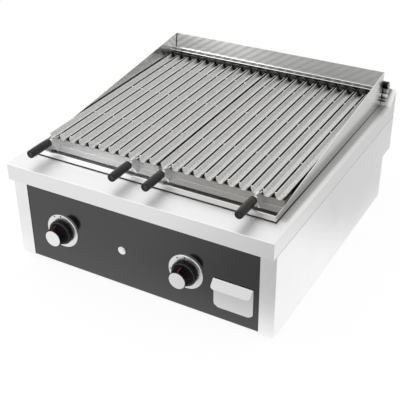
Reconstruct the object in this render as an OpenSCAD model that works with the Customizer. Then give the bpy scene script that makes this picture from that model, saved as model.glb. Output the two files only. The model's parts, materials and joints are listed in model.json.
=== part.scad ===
// Tabletop gas grill: a stainless steel body with two tilting grates of V-shaped bars,
// a lift-off splash guard, two gas burners with their valves and a grease drawer.
// Places are given as: x from the middle of the body, to the right; y from the face of the
// worktop's front skirt, to the back; z from the underside of the body, upwards.
// The row's origin is on the surface that the feet stand on, in the middle of the floor
// space that the grill takes up.

/* [Body] */
// Width of the body
body_w = 600; // [560:1:700]
// Depth of the body at the worktop
body_d = 660; // [600:1:760]
// Height of the worktop above the underside of the body
body_h = 225; // [222:1:260]
// Thickness of the sheet steel
sheet = 1.5; // [1.2:0.1:1.8]
// Height of the feet under the body
foot_h = 10; // [6:1:20]
// Height of the skirt round the worktop
skirt_h = 36; // [32:1:40]
// How far the skirt stands in front of the front posts
front_setback = 15; // [12:1:18]
// Width of each front post
post_w = 32.5; // [28:0.5:40]
// How far the lower back stands in from the upper back
back_step_d = 50; // [46:1:60]
// Height of the step in the back
back_step_h = 105; // [95:1:120]
// Depth of the sloping deck behind the splash guard
deck_d = 30; // [28:1:34]
// Rise of the sloping deck
deck_rise = 31; // [24:1:36]

/* [Splash guard] */
// Distance from the worktop's side edge to the guard's wing
guard_side = 26; // [22:1:36]
// Distance from the skirt's face to the front rim
guard_front = 62.5; // [58:0.5:80]
// Distance from the guard's back to the foot of the sloping deck
guard_deck_gap = 4; // [3:0.5:10]
// Height of the front rim
rim_h = 13; // [11:1:18]
// Height of the guard's back above the worktop
guard_back_h = 77; // [65:1:100]
// How far the guard's back leans back at its top
guard_lean = 12; // [8:1:14]

/* [Grates] */
// Number of bars in each grate
bar_count = 11; // [9:2:15]
// Gap between two bars
bar_slot = 3; // [1.5:0.1:4]
// Width of the flat bottom of a bar
bar_base_w = 10.5; // [6:0.5:12]
// Depth of a bar
bar_depth = 10; // [8:0.5:11]
// Wall of a bar
bar_wall = 1.8; // [1.5:0.1:2.2]
// How far the bars reach over the grease gutter
bar_over = 52; // [45:0.5:56]
// Height of the pivot above the worktop
pivot_h = 19.8; // [18:0.2:24]
// Slope of the grates down to the front, in degrees
grate_slope = 0.5; // [0:0.1:0.8]
// Free gap between the two grates, over the gap between bars
grate_gap = 1.6; // [1:0.1:4]
// Radius of the cross rods
rod_r = 4; // [3:0.5:4.5]

/* [Handles] */
// Radius of a grip
grip_r = 8.75; // [7:0.25:11]
// Length of a grip
grip_l = 62; // [50:1:66]
// Thickness of the latch plate behind a grip
latch_t = 3; // [2:0.2:3.6]

/* [Controls] */
// Distance from the left post to the left knob's axis
knob_left_edge = 84.2; // [70:0.1:100]
// Distance from the drawer's front to the right knob's axis
knob_right_edge = 60.3; // [48:0.1:80]
// Height of the knobs' axis
knob_h = 90; // [88:1:94]
// Radius of the scale plates
dial_r = 38; // [34:0.5:42]
// Radius of the knobs' skirt
knob_skirt_r = 28; // [26:0.5:33]
// Radius of a knob at its front
knob_front_r = 18.2; // [16:0.1:21]
// Length of a knob's cone
knob_cone_l = 21.5; // [18:0.5:26]
// How far a knob travels when it is pushed
knob_travel = 4; // [3:0.5:4.5]
// Radius of the lighter button
lighter_r = 6.5; // [5:0.1:7]
// Travel of the lighter button
lighter_travel = 3.5; // [2:0.5:4]

/* [Grease drawer] */
// Distance from the right post to the drawer's front
drawer_edge = 11.9; // [8:0.1:20]
// Width of the drawer's front
drawer_w = 84; // [78:1:92]
// Height of the drawer's front
drawer_front_h = 68.5; // [62:0.5:80]
// Height of the drawer front's lower edge
drawer_low = 30; // [28:1:34]
// How far the pull lip stands out
lip_out = 15.5; // [10:0.5:18]
// How far the pull lip hangs down
lip_drop = 16; // [12:0.5:24]
// Length of the drawer's tray
tray_l = 250; // [180:1:290]

/* [Burners] */
// Radius of the burner tubes
burner_r = 14; // [12:0.5:14]
// Distance from the firebox's side to the outer leg of a burner
leg_edge = 85.5; // [70:0.5:86]
// Distance between the two legs of a burner
leg_pitch = 100; // [85:1:110]
// Width of a heat plate
plate_w = 70; // [50:1:80]
// Height of a heat plate
plate_h = 25; // [18:1:30]
// Radius of the gas pipe
pipe_r = 10.5; // [8:0.5:10.5]

/* [Hidden] */
$fn = 48;

// Overrun of every cut, and the small gaps between pieces
over = 1;
seam_gap = 0.3;
run_gap = 0.05;
slip_gap = 0.5;

// Body
half_w = body_w / 2;
in_w = half_w - sheet;
post_y = front_setback;
low_back_y = body_d - back_step_d;
step_z = back_step_h;
skirt_z = body_h - skirt_h;
side_top_z = skirt_z - seam_gap;
deck_y = body_d - deck_d;
deck_z = body_h + deck_rise;
deck_slope = deck_rise / deck_d;
deck_angle = atan(deck_slope);
flange_w = 15;
vent_w = 6;
vent_l = 60;
vent_count = 9;
vent_pitch = 52;
foot_r = 19;
foot_in_x = 38;
foot_in_y = 75;
foot_x = half_w - foot_in_x;
foot_y = body_d / 2 - foot_in_y;
bolt_r = 3;
bolt_head_r = 5.2;
bolt_head_h = 3.2;
bolt_end = 5;
bolt_sink = 1;
screw_r = 3.6;
screw_h = 1.6;
screw_edge = 10;

// Splash guard, and the worktop's opening with its collar folded down
guard_half = half_w - guard_side;
guard_in = guard_half - sheet;
guard_back = deck_y - guard_deck_gap;
collar_gap = 0.5;
collar_in = guard_in - collar_gap - sheet;
collar_h = 20;
well_front = guard_front + 3 * sheet;
ledge_d = 3.5;
ledge_h = 43;
ledge_y = guard_back - sheet - ledge_d;
well_back = ledge_y - 2 * sheet;
tongue_w = 20;
tongue_in = 74;
tongue_x = guard_half - tongue_in;
tongue_l = 8;

// Flue behind the guard: a slot and a louvred hood on the sloping deck, over a duct
slot_in = 6;
slot_w = 3;
hood_in = 9.5;
hood_edge = 13;
hood_rear = 2;
hood_rise = 38;
hood_run = 8;
hood_half = half_w - hood_edge;
hood_front = deck_y + hood_in;
hood_back = body_d - hood_rear;
flue_edge = 18;
flue_rear = 4;
flue_over_step = 45;
flue_half = half_w - flue_edge;
flue_back = body_d - flue_rear;
flue_z = step_z + flue_over_step;
louvre_r = 5.5;
louvre_wall = 1.2;
louvre_count = 3;

// Firebox and grease gutter
gutter_d = 90;
fire_x = collar_in;
fire_front = well_front + gutter_d;
fire_back = low_back_y - 2 * sheet - seam_gap;
fire_top = body_h - collar_h / 2;
burner_floor_gap = 1.5;
fire_low = knob_h - burner_r - burner_floor_gap - sheet;
gutter_drop = 15;
gutter_x = collar_in - seam_gap;
gutter_y = well_front + seam_gap;
gutter_z = body_h - gutter_drop;
drain_in = 16;
drain_y = gutter_y + drain_in;
chute_r = 12;
chute_flange_r = 15;
chute_gap = 6;
window_count = 3;
window_edge = 42.5;
window_gap = 48;
window_w = (2 * (fire_x - window_edge) - (window_count - 1) * window_gap) / window_count;
window_sill = 10;
window_head = 15;
window_low = flue_z + window_sill;
window_high = fire_top - window_head;
air_slot_w = 16;

// Grates, in their own frame: the pivot's axis is at y = 0 and z = 0
pivot_back = 12;
bar_rear_gap = 6;
bar_front = fire_front - bar_over;
bar_l = well_back - bar_rear_gap - bar_front;
pivot_y = bar_front + bar_l - pivot_back;
pivot_z = body_h + pivot_h;
bar_y0 = pivot_back - bar_l;
bar_low = rod_r;
bar_top = rod_r + bar_depth;
grate_edge = 2.6;
bar_end_rise = 4;
bar_pitch = (guard_in - grate_edge - grate_gap / 2 + bar_slot / 2) / bar_count;
bar_w = bar_pitch - bar_slot;
bar_slope = (bar_w - bar_base_w) / 2 / bar_depth;
bar_wall_x = bar_wall * norm([1, bar_slope]);
comb_t = 3;
comb_in = 5;
comb_drop = 1;
comb_y = bar_y0 + comb_in;
mid_rod_in = 133;
mid_rod_pitch = 150;
mid_rod_y = bar_y0 + mid_rod_in;
grate_mid = (bar_count * bar_pitch + grate_gap) / 2;
rod_half = bar_count * bar_pitch / 2 - bar_pitch / 10;
cheek_l = 30;
cheek_t = 1.5;
cheek_h = 5.5;
rest_in = 3;
rest_y = bar_front + rest_in;
rest_w = 20;
rest_t = 13;
rest_lift = 4;
rest_z = body_h + rest_lift;
rest_gap = 0.3;
comb_low = rest_z + rest_gap - pivot_z - sin(grate_slope) * comb_y;
bracket_t = 4;
bracket_h = 20;
bracket_x = grate_gap / 2 + bar_pitch;
bracket_out_x = grate_mid + (bar_count / 2 - 1) * bar_pitch;
bracket_low = fire_top - bracket_h;
bracket_arm = 7;

// Handles
grip_reach = 91;
grip_y0 = bar_y0 - grip_reach;
grip_drop = 1;
handle_z = bar_top - grip_drop;
handle_rod_r = 4;
handle_weld = 1;
grip_bevel = 1;
latch_l = 28;
latch_head_l = 14;
latch_head_h = 6;
latch_toe_l = 9;
latch_toe_h = 7.5;
latch_first = 1;
latch_second = bar_count - 2;

// Front panel
panel_y = post_y + sheet;
panel_back = panel_y + sheet;
panel_gap = 1;
panel_low = 2 * sheet + panel_gap;
panel_lip = 12;
panel_high = skirt_z + panel_lip;
panel_lap = 6;

// Grease drawer
drawer_x = half_w - post_w - drawer_edge - drawer_w / 2;
front_plate_y = panel_y - seam_gap - sheet;
front_corner_r = 10;
lip_corner_r = 8;
tray_side = 3;
tray_lift = 4;
tray_head = 3;
tray_w = drawer_w - 2 * tray_side;
tray_low = drawer_low + tray_lift;
tray_top = fire_low - tray_head;
tray_hole = 1.5;
rail_wall = 1.5;
rail_ledge = 9;
rail_web_h = 12;

// Knobs, dials, valves and lighter
knob_left_x = knob_left_edge + post_w - half_w;
knob_right_x = drawer_x - drawer_w / 2 - knob_right_edge;
dial_t = 4;
dial_face = panel_y - dial_t;
dial_hole_r = 7;
dial_lip = 2;
knob_rear = dial_face - knob_travel - slip_gap;
knob_skirt_t = 5;
knob_root_r = 25;
knob_skin = 3;
knob_hub_r = 8;
knob_cone_y = knob_rear - knob_skirt_t;
knob_face = knob_cone_y - knob_cone_l;
cap_t = 1.2;
cap_edge = 0.7;
cap_r = knob_front_r - cap_edge;
spindle_r = 4;
spindle_in = 14;
spindle_reach = 10;
spindle_end = panel_back + spindle_reach;
valve_r = 15;
valve_l = 40;
valve_gap = 2;
valve_y = panel_back + valve_gap;
valve_end = valve_y + valve_l;
chamber_r = 8.05;
chamber_in = 6;
chamber_l = 18;
chamber_y = valve_y + chamber_in;
chamber_end = chamber_y + chamber_l;
plunger_t = 3;
plunger_gap = 0.3;
valve_foot = 22;
pipe_setback = 22;
pipe_drop = 30;
pipe_wall = 2.5;
pipe_edge = 65;
pipe_end = 38.7;
pipe_y = panel_back + pipe_setback;
pipe_z = knob_h - pipe_drop;
pipe_left = pipe_edge - half_w;
pipe_right = knob_right_x + pipe_end;
injector_r = 6;
injector_l = 8;
nozzle_r = 3.5;
nozzle_l = 8;
lighter_x = (knob_left_x + knob_right_x) / 2;
lighter_wall = 1.5;
lighter_bezel_r = 8.8;
lighter_bezel_t = 3;
lighter_barrel_l = 32;
lighter_proud = 2;
lighter_l = 20;
lighter_floor = 3;
nut_r = 12;
nut_t = 5;
spring_wall = 1;

// Burners and heat plates
burner_wall = 1.5;
burner_z = knob_h;
header_in = 26.5;
header_y = fire_front + header_in;
leg_gap = 18.7;
leg_end = fire_back - leg_gap;
leg_out_x = fire_x - leg_edge;
leg_in_x = leg_out_x - leg_pitch;
venturi_r = 11;
venturi_gap = 14;
venturi_y = valve_end + venturi_gap;
shutter_l = 20;
shutter_wall = 1.5;
shutter_slot = 8;
port_r = 1.5;
port_pitch = 20;
tail_r = 4;
rail_r = 4;
rail_lift = 42;
rail_in = 56.5;
rail_z = burner_z + burner_r + rail_lift;
rail_front = fire_front + rail_in;
rail_back = fire_back - rail_in;
plate_t = 2;
plate_in = 41.5;
plate_rear_gap = 16.7;
plate_front = fire_front + plate_in;
plate_l = fire_back - plate_rear_gap - plate_front;
electrode_r = 3;
electrode_l = 32;
electrode_gap = 28;
electrode_lift = 18;
electrode_z = burner_z + electrode_lift;
tip_r = 1;
tip_l = 10;
lead_r = 1.5;
lead_joint_r = 1.65;
lead_gap = 1;
lead_back = 88;
lead_lift = 35;
lead_y = panel_back + lead_back;
lead_z = burner_z + lead_lift;
probe_r = 2.5;
probe_gap = 24;
probe_lift = 20;
probe_z = burner_z + probe_lift;

// Gas inlet
inlet_flange_r = 16;
inlet_flange_t = 3;
inlet_hex_r = 15.6;
inlet_hex_l = 10;
inlet_r = 10.48;
inlet_l = 18;

// Middle of the grill's depth, from the knobs' faces to the screws at the back
depth_mid = (body_d + screw_h + knob_face - cap_t) / 2;

// Moves the sizes' frame, skirt face and underside, to the row's frame
module in_body() {
    translate([0, -depth_mid, foot_h]) children();
}

// Mirrors its piece to the left for s = -1 and leaves it for s = 1
module on_side(s) {
    mirror([s < 0 ? 1 : 0, 0, 0]) children();
}

module block(x0, x1, y0, y1, z0, z1) {
    translate([x0, y0, z0]) cube([x1 - x0, y1 - y0, z1 - z0]);
}

// An outline of [y, z] points, drawn from x0 to x1
module bar_x(x0, x1, points) {
    translate([x0, 0, 0]) rotate([90, 0, 90]) linear_extrude(x1 - x0) polygon(points);
}

// An outline of [x, z] points, drawn from y0 to y1
module bar_y(y0, y1, points) {
    translate([0, y1, 0]) rotate([90, 0, 0]) linear_extrude(y1 - y0) polygon(points);
}

module round_x(x0, x1, y, z, r) {
    translate([x0, y, z]) rotate([0, 90, 0]) cylinder(h = x1 - x0, r = r);
}

module round_y(y0, y1, x, z, r) {
    translate([x, y0, z]) rotate([-90, 0, 0]) cylinder(h = y1 - y0, r = r);
}

module round_z(z0, z1, x, y, r) {
    translate([x, y, z0]) cylinder(h = z1 - z0, r = r);
}

// A round bar from point a to point b
module link(a, b, r) {
    d = b - a;
    len = norm(d);
    translate(a) rotate([0, acos(d[2] / len), atan2(d[1], d[0])]) cylinder(h = len, r = r);
}

// Side panel, folded round into the front post and the flanges that the covers screw to
module side_panel(s) {
    outline = [
        [post_y, 0], [low_back_y, 0], [low_back_y, step_z],
        [body_d, step_z], [body_d, side_top_z], [post_y, side_top_z]];
    color("gainsboro") in_body() on_side(s) union() {
        bar_x(in_w, half_w, outline);
        block(half_w - post_w, half_w, post_y, post_y + sheet, 0, side_top_z);
        block(half_w - flange_w, half_w, post_y, low_back_y - sheet, 0, sheet);
        block(half_w - flange_w, half_w, low_back_y - 2 * sheet, low_back_y - sheet, 0, step_z);
        block(half_w - flange_w, half_w, body_d - 2 * sheet, body_d - sheet, step_z + sheet, side_top_z);
        block(half_w - flange_w, half_w, post_y, body_d - sheet, side_top_z - sheet, side_top_z);
    }
}

// Base plate with two rows of air slots for the burners
module base_plate() {
    color("silver") in_body() difference() {
        block(-in_w, in_w, panel_back, low_back_y - 2 * sheet, sheet, 2 * sheet);
        for (row_y = [low_back_y / 3, low_back_y / 3 * 2])
            for (i = [0 : vent_count - 1])
                translate([(i - (vent_count - 1) / 2) * vent_pitch, row_y, 0])
                    block(-vent_w / 2, vent_w / 2, -vent_l / 2, vent_l / 2, 0, 3 * sheet);
        for (sx = [-1, 1])
            for (sy = [-1, 1])
                round_z(0, 3 * sheet, sx * foot_x, body_d / 2 + sy * foot_y, bolt_r + slip_gap);
    }
}

// Lower back cover, with the hole for the gas inlet
module rear_cover() {
    color("lightgray") in_body() difference() {
        block(-in_w, in_w, low_back_y - sheet, low_back_y, 0, step_z);
        round_y(low_back_y - 2 * sheet, low_back_y + over, pipe_left, pipe_z, inlet_r + slip_gap);
        for (i = [0 : vent_count - 1])
            translate([(i - (vent_count - 1) / 2) * vent_pitch, low_back_y, step_z / 2])
                block(-vent_w / 2, vent_w / 2, -2 * sheet, over, -vent_l / 4, vent_l / 4);
    }
}

// Upper back with the shelf that forms the step
module upper_back() {
    color("lightgray") in_body() difference() {
        union() {
            block(-in_w, in_w, body_d - sheet, body_d, step_z, side_top_z);
            block(-in_w, in_w, low_back_y - sheet, body_d, step_z, step_z + sheet);
        }
        for (i = [0 : vent_count - 1])
            translate([(i - (vent_count - 1) / 2) * vent_pitch, body_d, (step_z + side_top_z) / 2])
                block(-vent_w / 2, vent_w / 2, -2 * sheet, over, -vent_l / 4, vent_l / 4);
    }
}

// Dark front panel between the posts
module control_panel() {
    panel_half = half_w - post_w + panel_lap;
    color("dimgray") in_body() difference() {
        block(-panel_half, panel_half, panel_y, panel_back, panel_low, panel_high);
        for (x = [knob_left_x, knob_right_x])
            round_y(panel_y - over, panel_back + over, x, knob_h, dial_hole_r);
        round_y(panel_y - over, panel_back + over, lighter_x, knob_h, lighter_r + lighter_wall + seam_gap);
        block(drawer_x - tray_w / 2 - tray_hole, drawer_x + tray_w / 2 + tray_hole,
            panel_y - over, panel_back + over, tray_low - tray_hole, tray_top + tray_hole);
    }
}

// Pressed worktop: skirt, sloping rear deck, collared opening for the grates and flue opening
module worktop() {
    outer = [[0, skirt_z], [0, body_h], [deck_y, body_h], [body_d, deck_z], [body_d, skirt_z]];
    bend = sheet * tan(deck_angle / 2);
    inner_rise = (deck_d - sheet - bend) * deck_slope;
    inner = [
        [sheet, skirt_z - over], [sheet, body_h - sheet], [deck_y + bend, body_h - sheet],
        [body_d - sheet, body_h - sheet + inner_rise], [body_d - sheet, skirt_z - over]];
    out_x = collar_in + sheet;
    color("whitesmoke") in_body() difference() {
        union() {
            difference() {
                bar_x(-half_w, half_w, outer);
                bar_x(-in_w, in_w, inner);
            }
            block(-out_x, out_x, well_front - sheet, well_back + sheet, body_h - collar_h, body_h);
            block(-in_w, in_w, 0, panel_y, skirt_z, skirt_z + sheet);
        }
        block(-collar_in, collar_in, well_front, well_back, body_h - collar_h - over, body_h + over);
        block(-flue_half, flue_half, hood_front + 2 * sheet, flue_back - sheet, body_h, deck_z + over);
        block(-flue_half, flue_half, deck_y + slot_in, deck_y + slot_in + slot_w, body_h, deck_z + over);
        for (s = [-1, 1])
            block(s * tongue_x - tongue_w / 2 - slip_gap, s * tongue_x + tongue_w / 2 + slip_gap,
                guard_back - sheet - seam_gap, guard_back + seam_gap, body_h - 3 * sheet, body_h + over);
    }
}

// Low rim in front of the grates, with a folded top edge
module front_rim() {
    x = guard_in - seam_gap;
    rim_top = body_h + rim_h;
    color("whitesmoke") in_body() union() {
        block(-x, x, guard_front, guard_front + sheet, body_h, rim_top);
        block(-x, x, guard_front, guard_front + 2 * sheet, rim_top - sheet, rim_top);
    }
}

// Lift-off splash guard of three sheets: two sloping wings, and a back that leans with its ledge.
// Two tongues at the back drop into the worktop, and the front rim stands between the wings.
module splash_guard() {
    wing = [
        [guard_front, body_h], [guard_front, body_h + rim_h],
        [guard_back + guard_lean, body_h + guard_back_h], [guard_back, body_h]];
    back = [
        [guard_back - sheet, body_h], [guard_back + guard_lean - sheet, body_h + guard_back_h],
        [guard_back + guard_lean, body_h + guard_back_h], [guard_back, body_h]];
    ledge_lean = guard_lean * ledge_h / guard_back_h;
    under_lean = guard_lean * (ledge_h - sheet) / guard_back_h;
    ledge = [
        [ledge_y, body_h], [ledge_y + ledge_lean, body_h + ledge_h],
        [guard_back - sheet + ledge_lean, body_h + ledge_h],
        [guard_back - sheet + under_lean, body_h + ledge_h - sheet],
        [ledge_y + sheet + under_lean, body_h + ledge_h - sheet], [ledge_y + sheet, body_h]];
    back_half = guard_in - run_gap;
    color("silver") in_body() {
        union() {
            bar_x(-back_half, back_half, back);
            bar_x(-back_half, back_half, ledge);
            for (s = [-1, 1])
                block(s * tongue_x - tongue_w / 2, s * tongue_x + tongue_w / 2,
                    guard_back - sheet, guard_back, body_h - tongue_l, body_h + sheet);
        }
        for (s = [-1, 1])
            on_side(s) bar_x(guard_in, guard_half, wing);
    }
}

// Four rubber feet, and the bolts that hold them
module feet() {
    color("black") in_body() for (sx = [-1, 1])
        for (sy = [-1, 1])
            difference() {
                round_z(-foot_h, sheet, sx * foot_x, body_d / 2 + sy * foot_y, foot_r);
                round_z(-foot_h - over, sheet + over, sx * foot_x, body_d / 2 + sy * foot_y, bolt_r);
                round_z(-foot_h - over, bolt_sink + bolt_head_h - foot_h, sx * foot_x,
                    body_d / 2 + sy * foot_y, bolt_head_r);
            }
}

module foot_bolts() {
    color("silver") in_body() for (sx = [-1, 1])
        for (sy = [-1, 1]) {
            x = sx * foot_x;
            y = body_d / 2 + sy * foot_y;
            union() {
                round_z(bolt_sink - foot_h, bolt_sink - foot_h + bolt_head_h, x, y, bolt_head_r - seam_gap);
                round_z(bolt_sink - foot_h, 2 * sheet + bolt_end, x, y, bolt_r);
                translate([x, y, 2 * sheet]) cylinder(h = bolt_head_h, r = bolt_head_r, $fn = 6);
            }
        }
}

// Sheet box round the burners, open at the top, with windows to the flue at its back.
// Its back has the same step as the body's back.
module firebox() {
    back = well_back;
    step = step_z + sheet + seam_gap;
    outer = [
        [fire_front, fire_low], [fire_back, fire_low], [fire_back, step], [back, step],
        [back, fire_top], [fire_front, fire_top]];
    inner = [
        [fire_front + sheet, fire_low + sheet], [fire_back - sheet, fire_low + sheet],
        [fire_back - sheet, step + sheet], [back - sheet, step + sheet],
        [back - sheet, fire_top + over], [fire_front + sheet, fire_top + over]];
    color("darkgray") in_body() difference() {
        bar_x(-fire_x, fire_x, outer);
        bar_x(sheet - fire_x, fire_x - sheet, inner);
        for (i = [-1, 0, 1])
            block(i * leg_pitch - air_slot_w / 2, i * leg_pitch + air_slot_w / 2, header_y + 2 * burner_r,
                leg_end, fire_low - over, fire_low + 2 * sheet);
        for (i = [0 : window_count - 1])
            translate([(i - (window_count - 1) / 2) * (window_w + window_gap), 0, 0])
                block(-window_w / 2, window_w / 2, back - 2 * sheet, back + over, window_low, window_high);
        for (x = [knob_left_x, knob_right_x]) {
            round_y(fire_front - over, fire_front + 2 * sheet, x, burner_z, venturi_r + seam_gap);
            round_y(fire_front - over, fire_front + 2 * sheet, x + electrode_gap, electrode_z,
                electrode_r + seam_gap);
            round_y(fire_front - over, fire_front + 2 * sheet, x - probe_gap, probe_z, probe_r + seam_gap);
        }
    }
}

// Grease gutter under the front ends of the bars, made of five strips: the floor, two walls
// that hook over the worktop and the firebox, and two end plates
module gutter() {
    low = gutter_z - sheet;
    hook_y = guard_front + sheet + seam_gap;
    floor_y = gutter_y + sheet + run_gap;
    floor_back = fire_front - sheet - run_gap;
    color("whitesmoke") in_body() {
        difference() {
            block(-gutter_x, gutter_x, floor_y, floor_back, low, gutter_z);
            round_z(low - over, gutter_z + over, drawer_x, drain_y, chute_r - sheet);
        }
        union() {
            block(-gutter_x, gutter_x, gutter_y, gutter_y + sheet, low, body_h + sheet);
            block(-gutter_x, gutter_x, hook_y, gutter_y + sheet, body_h, body_h + sheet);
        }
        union() {
            block(-gutter_x, gutter_x, fire_front - sheet, fire_front, low, fire_top + sheet);
            block(-gutter_x, gutter_x, fire_front - sheet, fire_front + sheet, fire_top, fire_top + sheet);
        }
        for (s = [-1, 1])
            on_side(s) block(gutter_x - sheet, gutter_x, floor_y, floor_back, gutter_z + run_gap,
                rest_z - rest_t - seam_gap);
    }
}

// Pipe that leads the grease from the gutter down to the drawer
module drain_chute() {
    top = gutter_z - sheet;
    low = tray_top + chute_gap;
    color("silver") in_body() difference() {
        union() {
            round_z(low, top, drawer_x, drain_y, chute_r);
            round_z(top - sheet, top, drawer_x, drain_y, chute_flange_r);
        }
        round_z(low - over, top + over, drawer_x, drain_y, chute_r - sheet);
    }
}

// Bar on which the front of both grates rests, with its middle post
module rest_bar() {
    color("gray") in_body() union() {
        block(-collar_in, collar_in, rest_y, rest_y + rest_w, rest_z - rest_t, rest_z);
        block(-bracket_t, bracket_t, rest_y + rest_w / 4, rest_y + rest_w - rest_w / 4, gutter_z,
            rest_z - rest_t / 2);
    }
}

// Open cradles at the back that hold the grates' pivot rods
module pivot_brackets() {
    arm = rod_r + bracket_arm;
    foot = well_back - sheet;
    top = pivot_z + sheet;
    outline = [
        [foot, bracket_low], [foot, fire_top], [pivot_y + arm / 2, top - arm],
        [pivot_y + arm / 2, top], [pivot_y - arm, top],
        [pivot_y - arm, top - 2 * arm]];
    color("gray") in_body() for (s = [-1, 1])
        for (x = [bracket_x, bracket_out_x])
            difference() {
                bar_x(s * x - bracket_t / 2, s * x + bracket_t / 2, outline);
                round_x(s * x - bracket_t, s * x + bracket_t, pivot_y, pivot_z, rod_r + run_gap);
                block(s * x - bracket_t, s * x + bracket_t, pivot_y - rod_r - run_gap,
                    pivot_y + rod_r + run_gap, pivot_z, top + over);
            }
}

// Duct from the firebox windows up to the opening in the rear deck
module flue_duct() {
    front = well_back;
    back = flue_back;
    rise = (back - deck_y) * deck_slope;
    outline = [
        [front, flue_z], [back, flue_z], [back, body_h + rise - 2 * sheet],
        [deck_y + sheet, body_h - sheet], [well_back + 2 * sheet, body_h - sheet],
        [well_back + 2 * sheet, body_h - collar_h - sheet], [front, body_h - collar_h - sheet]];
    color("darkgray") in_body() difference() {
        bar_x(-flue_half - sheet, flue_half + sheet, outline);
        block(-flue_half, flue_half, front - over, back - sheet, flue_z + sheet, deck_z);
    }
}

// Hood over the flue opening: a folded box with three pressed louvres in its front
module flue_hood() {
    foot_z = body_h + hood_in * deck_slope + seam_gap;
    top_y = hood_front + hood_run;
    top_z = foot_z + hood_rise;
    lean_slope = hood_run / hood_rise;
    drop = 2 * sheet;
    outer = [
        [hood_front, foot_z], [top_y, top_z], [hood_back, top_z],
        [hood_back, body_h + (hood_back - deck_y) * deck_slope + seam_gap]];
    inner = [
        [hood_front + sheet - drop * lean_slope, foot_z - drop],
        [top_y + sheet - sheet * lean_slope, top_z - sheet], [hood_back - sheet, top_z - sheet],
        [hood_back - sheet, foot_z - drop]];
    pitch = norm([hood_run, hood_rise]) / louvre_count;
    color("gray") in_body() union() {
        difference() {
            bar_x(-hood_half, hood_half, outer);
            bar_x(sheet - hood_half, hood_half - sheet, inner);
            for (i = [0 : louvre_count - 1])
                translate([0, hood_front, foot_z]) rotate([-atan(lean_slope), 0, 0])
                    block(louvre_r - hood_half + 2 * sheet, hood_half - louvre_r - 2 * sheet, -over,
                        2 * sheet, pitch * (i + 1 / 2) - louvre_r / 2, pitch * (i + 1 / 2) + louvre_r / 2);
        }
        for (i = [0 : louvre_count - 1])
            translate([0, hood_front, foot_z]) rotate([-atan(lean_slope), 0, 0])
                translate([0, sheet / 2, pitch * (i + 1 / 2)]) louvre();
    }
}

// One louvre: half a tube that is open at the back, with closed ends
module louvre() {
    half = hood_half - louvre_wall;
    translate([-half, 0, 0]) rotate([90, 0, 90]) linear_extrude(2 * half) half_round(louvre_r, louvre_wall);
    for (s = [-1, 1])
        on_side(s) translate([half - louvre_wall, 0, 0]) rotate([90, 0, 90]) linear_extrude(louvre_wall)
            half_round(louvre_r, louvre_r);
}

// Half a round outline on the left of the origin, with its wall
module half_round(r, wall) {
    difference() {
        circle(r = r);
        if (wall < r) circle(r = r - wall);
        translate([0, -r - over]) square([r + over, 2 * (r + over)]);
    }
}

// Rails that carry the heat plates
module plate_rails() {
    x = fire_x - sheet;
    color("gray") in_body() for (y = [rail_front, rail_back])
        round_x(-x, x, y, rail_z, rail_r);
}

// Inverted V plates over the burner legs, which spread the heat
module heat_plates(s) {
    low = rail_z + rail_r;
    half = plate_w / 2;
    wall_x = plate_t * norm([half, plate_h]) / plate_h;
    wall_z = plate_t * norm([half, plate_h]) / half;
    roof = [
        [-half, low], [0, low + plate_h], [half, low], [half - wall_x, low],
        [0, low + plate_h - wall_z], [wall_x - half, low]];
    color("dimgray") in_body() for (x = [leg_in_x, leg_out_x])
        translate([s * x, 0, 0]) bar_y(plate_front, plate_front + plate_l, roof);
}

// Burner: mixing tube from the injector, cross header and two legs with flame ports
module burner(s, inlet_x) {
    inner = burner_r - burner_wall;
    wall = fire_back - sheet;
    left_x = min(s * leg_in_x, s * leg_out_x);
    right_x = max(s * leg_in_x, s * leg_out_x);
    color("gray") in_body() difference() {
        union() {
            round_x(left_x - burner_r, right_x + burner_r, header_y, burner_z, burner_r);
            for (x = [left_x, right_x]) {
                round_y(header_y, leg_end, x, burner_z, burner_r);
                round_y(leg_end - burner_wall, wall, x, burner_z, tail_r);
            }
            round_y(venturi_y, header_y, inlet_x, burner_z, venturi_r);
        }
        round_x(left_x - inner, right_x + inner, header_y, burner_z, inner);
        for (x = [left_x, right_x]) {
            round_y(header_y, leg_end - burner_wall, x, burner_z, inner);
            for (i = [1 : floor((leg_end - header_y - 2 * burner_r) / port_pitch)])
                round_z(burner_z, burner_z + burner_r + over, x, header_y + burner_r + i * port_pitch,
                    port_r);
        }
        round_y(venturi_y - over, header_y, inlet_x, burner_z, venturi_r - burner_wall);
        block(inlet_x - shutter_slot / 2, inlet_x + shutter_slot / 2, venturi_y + shutter_l / 4,
            venturi_y + shutter_l * 3 / 4, burner_z, burner_z + venturi_r + over);
    }
}

// Turning sleeve that sets the air at the mouth of a mixing tube
module air_shutter(x) {
    outer = venturi_r + run_gap + shutter_wall;
    color("silver") in_body() difference() {
        round_y(venturi_y, venturi_y + shutter_l, x, burner_z, outer);
        round_y(venturi_y - over, venturi_y + shutter_l + over, x, burner_z, venturi_r + run_gap);
        block(x - shutter_slot / 2, x + shutter_slot / 2, venturi_y + shutter_l / 4,
            venturi_y + shutter_l * 3 / 4, burner_z, burner_z + outer + over);
    }
}

// Brass injectors screwed into the back of the valves
module injectors() {
    color("goldenrod") in_body() for (x = [knob_left_x, knob_right_x])
        difference() {
            union() {
                translate([x, valve_end, burner_z]) rotate([-90, 0, 0])
                    cylinder(h = injector_l, r = injector_r, $fn = 6);
                round_y(valve_end, valve_end + injector_l + nozzle_l, x, burner_z, nozzle_r);
            }
            round_y(valve_end - over, valve_end + injector_l + nozzle_l + over, x, burner_z, tip_r);
        }
}

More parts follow.
